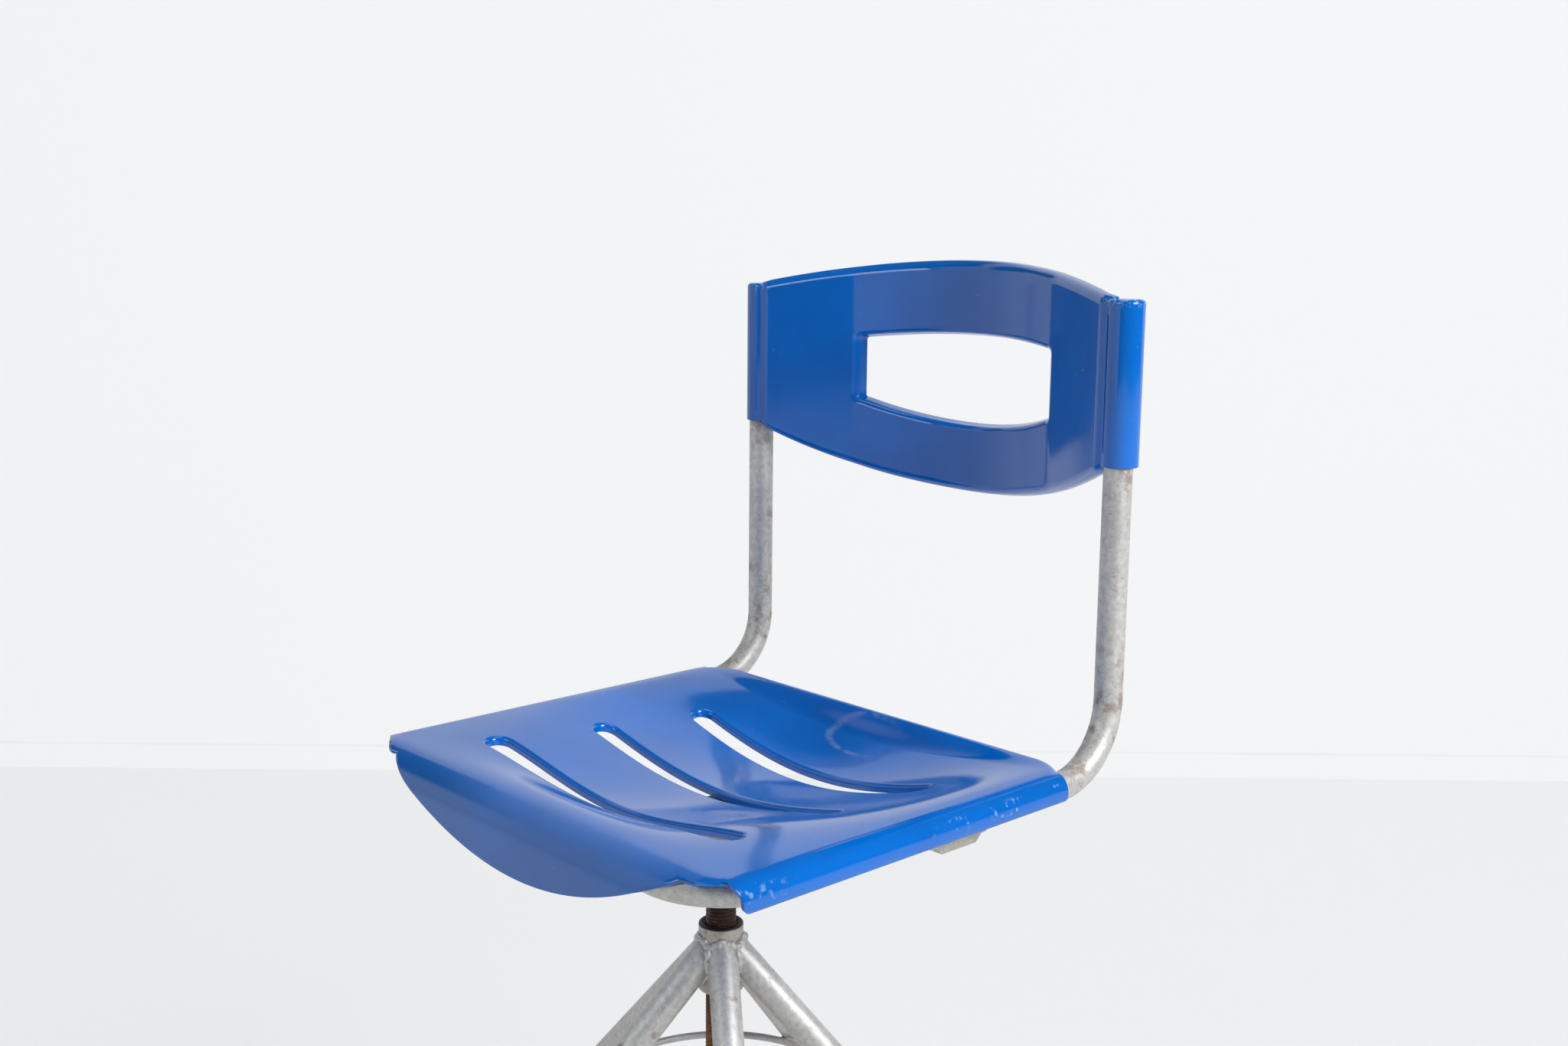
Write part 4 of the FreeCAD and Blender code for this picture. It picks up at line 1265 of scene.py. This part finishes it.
class STOOL_OT_hub(bpy.types.Operator):
    """Turns the hub and its threaded bush, and welds the legs to it"""

    bl_idname = "stool.hub"
    bl_label = "Hub and welds"

    def execute(self, context):
        b, f = context.scene.stool_base, context.scene.stool_frame
        outer, inner = b.hub / 2, b.hub / 2 - b.hub_wall
        chamfer, rolled = 0.6, 1.6
        straight = b.hub_top - b.hub_low - 2.0
        profile = [(inner, b.hub_low), (outer - chamfer, b.hub_low), (outer, b.hub_low + chamfer)]
        profile += [(outer, b.hub_low + straight * k / 6) for k in range(1, 7)]
        profile += arc(outer - rolled, b.hub_top - rolled, rolled, 18.0, 90.0, 4)
        profile += [(inner + 0.4, b.hub_top), (inner, b.hub_top - 0.4)]
        piece("hub_sleeve", *turned(profile, 96, closed=True), "base", "hub_paint", ["hub_tube"])
        bore, flank = f.spindle / 2 + 0.15, inner - 0.05
        low, high = b.hub_low + 0.3, b.hub_top - 0.7
        profile = [(bore, low), (flank, low), (flank, high - 0.3), (flank - 0.3, high)]
        profile += [(bore + 0.7, high), (bore, high - 0.7)]
        piece("threaded_bush", *turned(profile, 72, closed=True), "base", "nut_steel", ["spindle_nut"])
        beads = []
        for k, heading in enumerate(leg_headings()):
            beads += self.leg_beads(heading, b.weld, 1.7 * k)
        piece("hub_welds", *joined(*beads), "base", "weld_metal")
        return {"FINISHED"}

    @staticmethod
    def leg_beads(heading, size, seed):
        """A leg's beads: over its root, in the valley to the next leg, under the root, and again on top."""
        over = weld_line(heading, 24.0, 156.0, 26, True)
        valley = [(x * 1.05, y * 1.05, z) for x, y, z in weld_line(heading, 36.0, -44.0, 17, False)]
        under = weld_line(heading, -34.0, -146.0, 22, True)
        second = [(x, y, z + 2.2) for x, y, z in weld_line(heading, 74.0, 114.0, 7, True)]
        runs = ((over, 1.0, 0.0), (valley, 1.0, 9.0), (under, 0.6, 5.0), (second, 0.8, 3.0))
        return [bead(path, size * share, seed + shift) for path, share, shift in runs]


class STOOL_OT_ring(bpy.types.Operator):
    """Bends the brace ring and welds it to the legs"""

    bl_idname = "stool.ring"
    bl_label = "Brace ring"

    def execute(self, context):
        b = context.scene.stool_base
        path = [(b.ring_radius * math.cos(a), b.ring_radius * math.sin(a), b.ring_z) for a in around(120)]
        hoop = tube_along(path, b.ring_wire / 2, 20, closed=True)
        piece("brace_hoop", *hoop, "base", "frame_paint", ["brace_ring"])
        beads = []
        near = b.ring_radius + b.ring_wire / 2 - 0.6
        for k, heading in enumerate(leg_headings()):
            for lift, reach, size in ((1.2, 6.5, 2.3), (-1.6, 5.0, 2.0)):
                sides = [reach * (i / 4 - 1) for i in range(9)]
                line = [about_axis(heading, near + abs(side) * 0.05, side, b.ring_z + lift) for side in sides]
                beads.append(bead(line, size, 2.3 * k + lift))
        piece("hoop_welds", *joined(*beads), "base", "weld_metal", ["ring_welds"])
        return {"FINISHED"}


class STOOL_OT_feet(bpy.types.Operator):
    """Moulds the rubber feet: rolled top, grooved sides and a flat sole"""

    bl_idname = "stool.feet"
    bl_label = "Feet"

    def execute(self, context):
        b = context.scene.stool_base
        slope, sides = math.radians(b.slope), 56
        end = (b.cross_height - b.sole) / math.sin(slope)
        profile = self.profile(b)
        for k, heading in enumerate(leg_headings()):
            ahead = Vector(about_axis(heading, math.cos(slope), 0.0, -math.sin(slope)))
            across = Vector(about_axis(heading, 0.0, 1.0, 0.0))
            up = ahead.cross(across)
            top = Vector((0.0, 0.0, b.cross_height)) + ahead * (end - b.foot_long)
            points = []
            for along, radius in profile:
                for turn in around(sides):
                    place = top + ahead * along + (across * math.cos(turn) + up * math.sin(turn)) * radius
                    if place.z < 0.0:
                        place -= ahead * (place.z / ahead.z)
                    points.append(tuple(place))
            faces = quads(len(profile), sides)
            faces.append(tuple(range((len(profile) - 1) * sides, len(profile) * sides)))
            made = piece(f"rubber_foot_{k + 1}", points, faces, "base", "foot_rubber", [f"foot_{k + 1}"])
            soften(made, 0.5)
            settled(made)
        return {"FINISHED"}

    @staticmethod
    def profile(b):
        """A foot's section as (place along the leg, radius) pairs. What lies below the floor is cut flat."""
        outer, inner = b.foot / 2, b.leg / 2 + 0.05
        rows = [(0.6, inner), (0.0, inner + 0.6), (0.0, outer - 1.2), (0.5, outer - 0.3), (1.6, outer)]
        rows += [(3.4, outer), (4.6, outer - 0.5), (5.2, outer - 1.0), (8.0, outer - 1.1)]
        rows += [(20.0, outer - 0.8)]
        for groove in (21.0, 25.0, 29.0):
            rows += [(groove, outer - 0.8), (groove + 0.4, outer - 1.5)]
            rows += [(groove + 1.2, outer - 1.5), (groove + 1.6, outer - 0.7)]
        rows += [(32.0, outer - 0.2), (34.0, outer), (40.0, outer), (50.0, outer)]
        return rows + [(b.foot_long + 32.0, outer)]


class STOOL_OT_under_seat(bpy.types.Operator):
    """Welds the collar and the cross member, and drives the screws"""

    bl_idname = "stool.under_seat"
    bl_label = "Welds and screws"

    def execute(self, context):
        self.welds(context)
        self.seat_screws()
        self.back_screws()
        return {"FINISHED"}

    @staticmethod
    def welds(context):
        """The beads round the collar's top and where the cross member meets the rails."""
        f, rail = context.scene.stool_frame, context.scene.stool_seat.rail_x
        low, high = (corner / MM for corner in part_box("spindle_boss"))
        collar = (high.x - low.x) / 2 + 0.8
        path = [(collar * math.cos(a), collar * math.sin(a), high.z - 1.2) for a in around(72)]
        beads = [bead(path, 1.9, 4.0, True)]
        low, high = (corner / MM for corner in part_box("cross_member"))
        under_rail = arc(0.0, f.rail_z, f.tube / 2 + 0.6, -128.0, -52.0, 10)
        for y in (low.y - AXIS_Y - 0.3, high.y - AXIS_Y + 0.3):
            for side in (-1, 1):
                line = [(side * rail + x, y, z) for x, z in under_rail]
                beads.append(bead(line, 1.6, y + side))
        piece("seat_welds", *joined(*beads), "seat", "weld_metal")

    def seat_screws(self):
        """Four screws from below into the seat's bosses."""
        head, rise, shank = 4.75, 3.0, 2.5
        low, high = (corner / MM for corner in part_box("seat_screws"))
        mid = ((low.x + high.x) / 2 - AXIS_X, (low.y + high.y) / 2 - AXIS_Y)
        span = ((high.x - low.x) / 2 - head, (high.y - low.y) / 2 - head)
        down = Matrix.Rotation(math.pi, 4, "X")
        places = []
        for sx in (-1, 1):
            for sy in (-1, 1):
                place = Vector((mid[0] + sx * span[0], mid[1] + sy * span[1], low.z + rise))
                turn = Matrix.Rotation(0.7 * sx + 0.4 * sy, 4, "Z")
                places.append(Matrix.Translation(place) @ down @ turn)
        self.screws("seat_screw_group", places, head, rise, shank, high.z - low.z - rise, "seat_screws")

    def back_screws(self):
        """Two screws through the backs of the sleeves."""
        head, rise, shank = 4.0, 2.4, 2.0
        low, high = (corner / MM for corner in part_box("back_screws"))
        back = Matrix.Rotation(-math.pi / 2, 4, "X")
        half, y, z = (high.x - low.x) / 2 - head, high.y - AXIS_Y - rise, (low.z + high.z) / 2
        places = []
        for side in (-1, 1):
            turn = Matrix.Rotation(0.5 * side, 4, "Z")
            places.append(Matrix.Translation((side * half, y, z)) @ back @ turn)
        self.screws("back_screw_group", places, head, rise, shank, high.y - low.y - rise, "back_screws")

    @staticmethod
    def screws(name, places, head, rise, shank, long, node):
        """Round-headed screws with a cross recess, each pointing out along its place's own Z."""
        rim = 0.2
        profile = [(0.02, -long), (shank * 0.5, -long), (shank, -long + shank), (shank, 0.0)]
        profile += [(head - rim, 0.0), (head, rim)]
        for k in range(9):
            turn = math.radians(10.0 * k + 8.0)
            profile.append((head * math.cos(turn), rim + (rise - rim) * math.sin(turn)))
        profile.append((0.02, rise))
        shapes = [moved(turned(profile, 32), place) for place in places]
        made = piece(name, *joined(*shapes), "seat", "fastener_steel", [node])
        wide, narrow = head * 0.52, head * 0.11
        arm = (Vector((narrow, -narrow, 0.0)), Vector((wide, -narrow, 0.0)), Vector((wide, narrow, 0.0)))
        cross = [Matrix.Rotation(turn, 3, "Z") @ corner for turn in around(4) for corner in arm]
        count = len(cross)
        points = [(p.x, p.y, rise + 1.0) for p in cross]
        points += [(p.x * 0.55, p.y * 0.8, rise * 0.35) for p in cross]
        faces = [tuple(range(count)), tuple(range(count, 2 * count))[::-1]]
        faces += [((k + 1) % count, k, count + k, count + (k + 1) % count) for k in range(count)]
        cutters = joined(*(moved((points, faces), place) for place in places))
        mesh = bpy.data.meshes.new("recess")
        mesh.from_pydata([at(*p) for p in cutters[0]], [], cutters[1])
        recess = bpy.data.objects.new("recess", mesh)
        bpy.context.scene.collection.objects.link(recess)
        less = made.modifiers.new("recess", "BOOLEAN")
        less.operation = "DIFFERENCE"
        less.solver = "EXACT"
        less.object = recess
        settled(made)
        bpy.data.objects.remove(recess)


class STOOL_OT_finishes(bpy.types.Operator):
    """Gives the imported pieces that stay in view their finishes"""

    bl_idname = "stool.finishes"
    bl_label = "Finishes"

    def execute(self, context):
        slots = {part["node"]: part["material_slot"] for part in frame["record"]["subparts"]}
        for name, node in frame["nodes"].items():
            if node.hide_render:
                continue
            node.data.materials.clear()
            node.data.materials.append(finish(slots[name]))
        return {"FINISHED"}


# Stage

# The photo's camera, solved from its perspective: place and axes in the row frame, focal length in pixels
IMAGE_WIDTH = 2048
FOCAL_LENGTH = 2195.595
CAMERA_PLACE = Vector((0.975618, -0.813865, 0.891460))
CAMERA_RIGHT = Vector((0.679659, 0.733471, 0.00915))
CAMERA_UP = Vector((-0.133047, 0.111, 0.984874))
CAMERA_BACK = Vector((0.721361, -0.670596, 0.173029))
SENSOR = 36.0

# The lamps point at one place. Each has its name, its place from there, its width, height and watts
LAMP_AIM = Vector((0.03, 0.0, 0.50))
LAMPS = (
    ("key", (2.3, 0.5, 1.35), 1.1, 1.3, 70.0),
    ("fill", (-0.3, -2.4, 1.3), 1.2, 0.9, 14.0),
    ("top", (-0.2, 0.3, 2.4), 1.0, 1.0, 9.0),
)


class STOOL_OT_stage(bpy.types.Operator):
    """Sets the floor, the backdrop, the lamps and the camera"""

    bl_idname = "stool.stage"
    bl_label = "Stage"

    def execute(self, context):
        scene = context.scene
        scene.view_settings.view_transform = "Standard"
        self.camera(scene)
        self.room(scene.stool_finish)
        self.world(scene)
        for lamp in LAMPS:
            self.softbox(scene, *lamp)
        return {"FINISHED"}

    @staticmethod
    def camera(scene):
        """The photo's camera."""
        camera = bpy.data.cameras.new("camera")
        camera.sensor_width = SENSOR
        camera.lens = FOCAL_LENGTH * SENSOR / IMAGE_WIDTH
        camera.clip_end = 50.0
        eye = bpy.data.objects.new("camera", camera)
        scene.collection.objects.link(eye)
        rows = Matrix((CAMERA_RIGHT, CAMERA_UP, CAMERA_BACK)).transposed().to_4x4()
        rows.translation = CAMERA_PLACE
        eye.matrix_world = rows
        scene.camera = eye

    @staticmethod
    def softbox(scene, name, offset, width, height, watts):
        """A soft rectangular lamp."""
        lamp = bpy.data.lights.new(name, "AREA")
        lamp.shape = "RECTANGLE"
        lamp.size = width
        lamp.size_y = height
        lamp.energy = watts
        made = bpy.data.objects.new(name, lamp)
        scene.collection.objects.link(made)
        made.location = LAMP_AIM + Vector(offset)
        made.rotation_euler = (-Vector(offset)).to_track_quat("-Z", "Y").to_euler()

    def room(self, tints):
        """The floor, the wall behind the stool, and the skirting along the wall's foot, topped by a painted shade
        line.
        """
        floor_half, wall_away, wall_half, wall_top = 7.0, 2.678, 6.0, 1.62
        skirting_top, skirting_shade_line, skirting_depth = 0.0405, 0.0438, 0.006
        ahead = Vector((-CAMERA_BACK.x, -CAMERA_BACK.y, 0.0)).normalized()
        across = Vector((ahead.y, -ahead.x, 0.0)) * wall_half
        middle = Vector((CAMERA_PLACE.x, CAMERA_PLACE.y, 0.0)) + ahead * wall_away
        corners_of_floor = ((-1, -1), (1, -1), (1, 1), (-1, 1))
        floor = [Vector((x, y, 0.0)) * floor_half for x, y in corners_of_floor]
        self.sheet("floor", floor, tuple(tints.floor), 0.85)
        wall = tuple(tints.wall)
        bands = (
            ("backdrop", 0.0, wall_top, 0.0, wall),
            ("skirting", 0.0, skirting_top, skirting_depth, wall),
            # A thin, slightly darker strip above the skirting: a painted shade line where the board's top edge
            # meets the wall.
            ("skirting_shade_line", skirting_top, skirting_shade_line, skirting_depth, times(wall, 0.955)),
        )
        for name, low, high, out, tint in bands:
            foot = middle - ahead * out
            left, right = foot - across, foot + across
            ends = ((left, low), (right, low), (right, high), (left, high))
            self.sheet(name, [Vector((end.x, end.y, z)) for end, z in ends], tint, 0.9)

    @staticmethod
    def sheet(name, outline, tint, glow):
        """A large flat stage piece, clear from behind. It looks paler than its lamps make it."""
        mesh = bpy.data.meshes.new(name)
        mesh.from_pydata(outline, [], [(0, 1, 2, 3)])
        made = bpy.data.objects.new(name, mesh)
        bpy.context.scene.collection.objects.link(made)
        f = Finish(bpy.data.materials.new(name))
        shade = f.mix(f.noise(0.8, 1.0, 0.4), tint, times(tint, 0.98))
        inputs = {"Base Color": shade, "Roughness": 0.9, "Specular IOR Level": 0.1}
        matt = f.node("ShaderNodeBsdfPrincipled", {}, inputs)
        pale = f.node("ShaderNodeEmission", {}, {"Color": tint, "Strength": 1.0})
        front = f.mix_shader(f.rays("Camera", "Glossy", "Transmission") * glow, matt, pale)
        behind = f.node("ShaderNodeNewGeometry", output="Backfacing")
        both = f.mix_shader(behind, front, f.node("ShaderNodeBsdfTransparent"))
        f.node("ShaderNodeOutputMaterial", {}, {"Surface": both})
        mesh.materials.append(f.owner)

    @staticmethod
    def world(scene):
        """A dim room. It looks pale in the picture, and shiny pieces see a white side with two dark parts."""
        f = Finish(bpy.data.worlds.new("studio"))
        x, y, z = f.parts(f.node("ShaderNodeTexCoord", output="Generated"))
        high = (z.rise(0.50, 0.60) * x.rise(-0.75, -0.69)).most(z.rise(0.10, 0.22) * x.rise(-0.45, -0.30))
        left = x.fall(-0.82, -0.775) * z.rise(0.16, 0.36) * y.band(-0.58, -0.44, 0.16, 0.34)
        white = x.fall(0.02, 0.08) * (1.0 - high) * (1.0 - left)
        share = f.rays("Camera").most(f.rays("Glossy") * white)
        dim = f.node("ShaderNodeBackground", {}, {"Color": (0.9, 0.95, 1.0), "Strength": 0.10})
        pale = f.node("ShaderNodeBackground", {}, {"Color": (0.90, 0.905, 0.92), "Strength": 1.0})
        f.node("ShaderNodeOutputWorld", {}, {"Surface": f.mix_shader(share, dim, pale)})
        scene.world = f.owner


PIECES = (
    STOOL_OT_seat_shell,
    STOOL_OT_back_shell,
    STOOL_OT_seat_frame,
    STOOL_OT_spindle,
    STOOL_OT_hub,
    STOOL_OT_ring,
    STOOL_OT_feet,
    STOOL_OT_under_seat,
    STOOL_OT_finishes,
    STOOL_OT_stage,
)


class STOOL_PT_panel(bpy.types.Panel):
    """Lists the steps that build the stool"""

    bl_label = "Work stool"
    bl_idname = "STOOL_PT_panel"
    bl_space_type = "VIEW_3D"
    bl_region_type = "UI"
    bl_category = "Stool"

    def draw(self, context):
        for step in PIECES:
            self.layout.operator(step.bl_idname)


def register():
    """Adds the sizes, the steps and the panel."""
    for name, group in GROUPS.items():
        bpy.utils.register_class(group)
        setattr(bpy.types.Scene, name, PointerProperty(type=group))
    for step in (*PIECES, STOOL_PT_panel):
        bpy.utils.register_class(step)


def unregister():
    """Removes them again."""
    for step in (STOOL_PT_panel, *reversed(PIECES)):
        bpy.utils.unregister_class(step)
    for name, group in reversed(GROUPS.items()):
        delattr(bpy.types.Scene, name)
        bpy.utils.unregister_class(group)


def main():
    """Builds the stool."""
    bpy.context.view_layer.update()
    register()
    for step in PIECES:
        group, name = step.bl_idname.split(".")
        getattr(getattr(bpy.ops, group), name)()


if __name__ == "__main__":
    main()
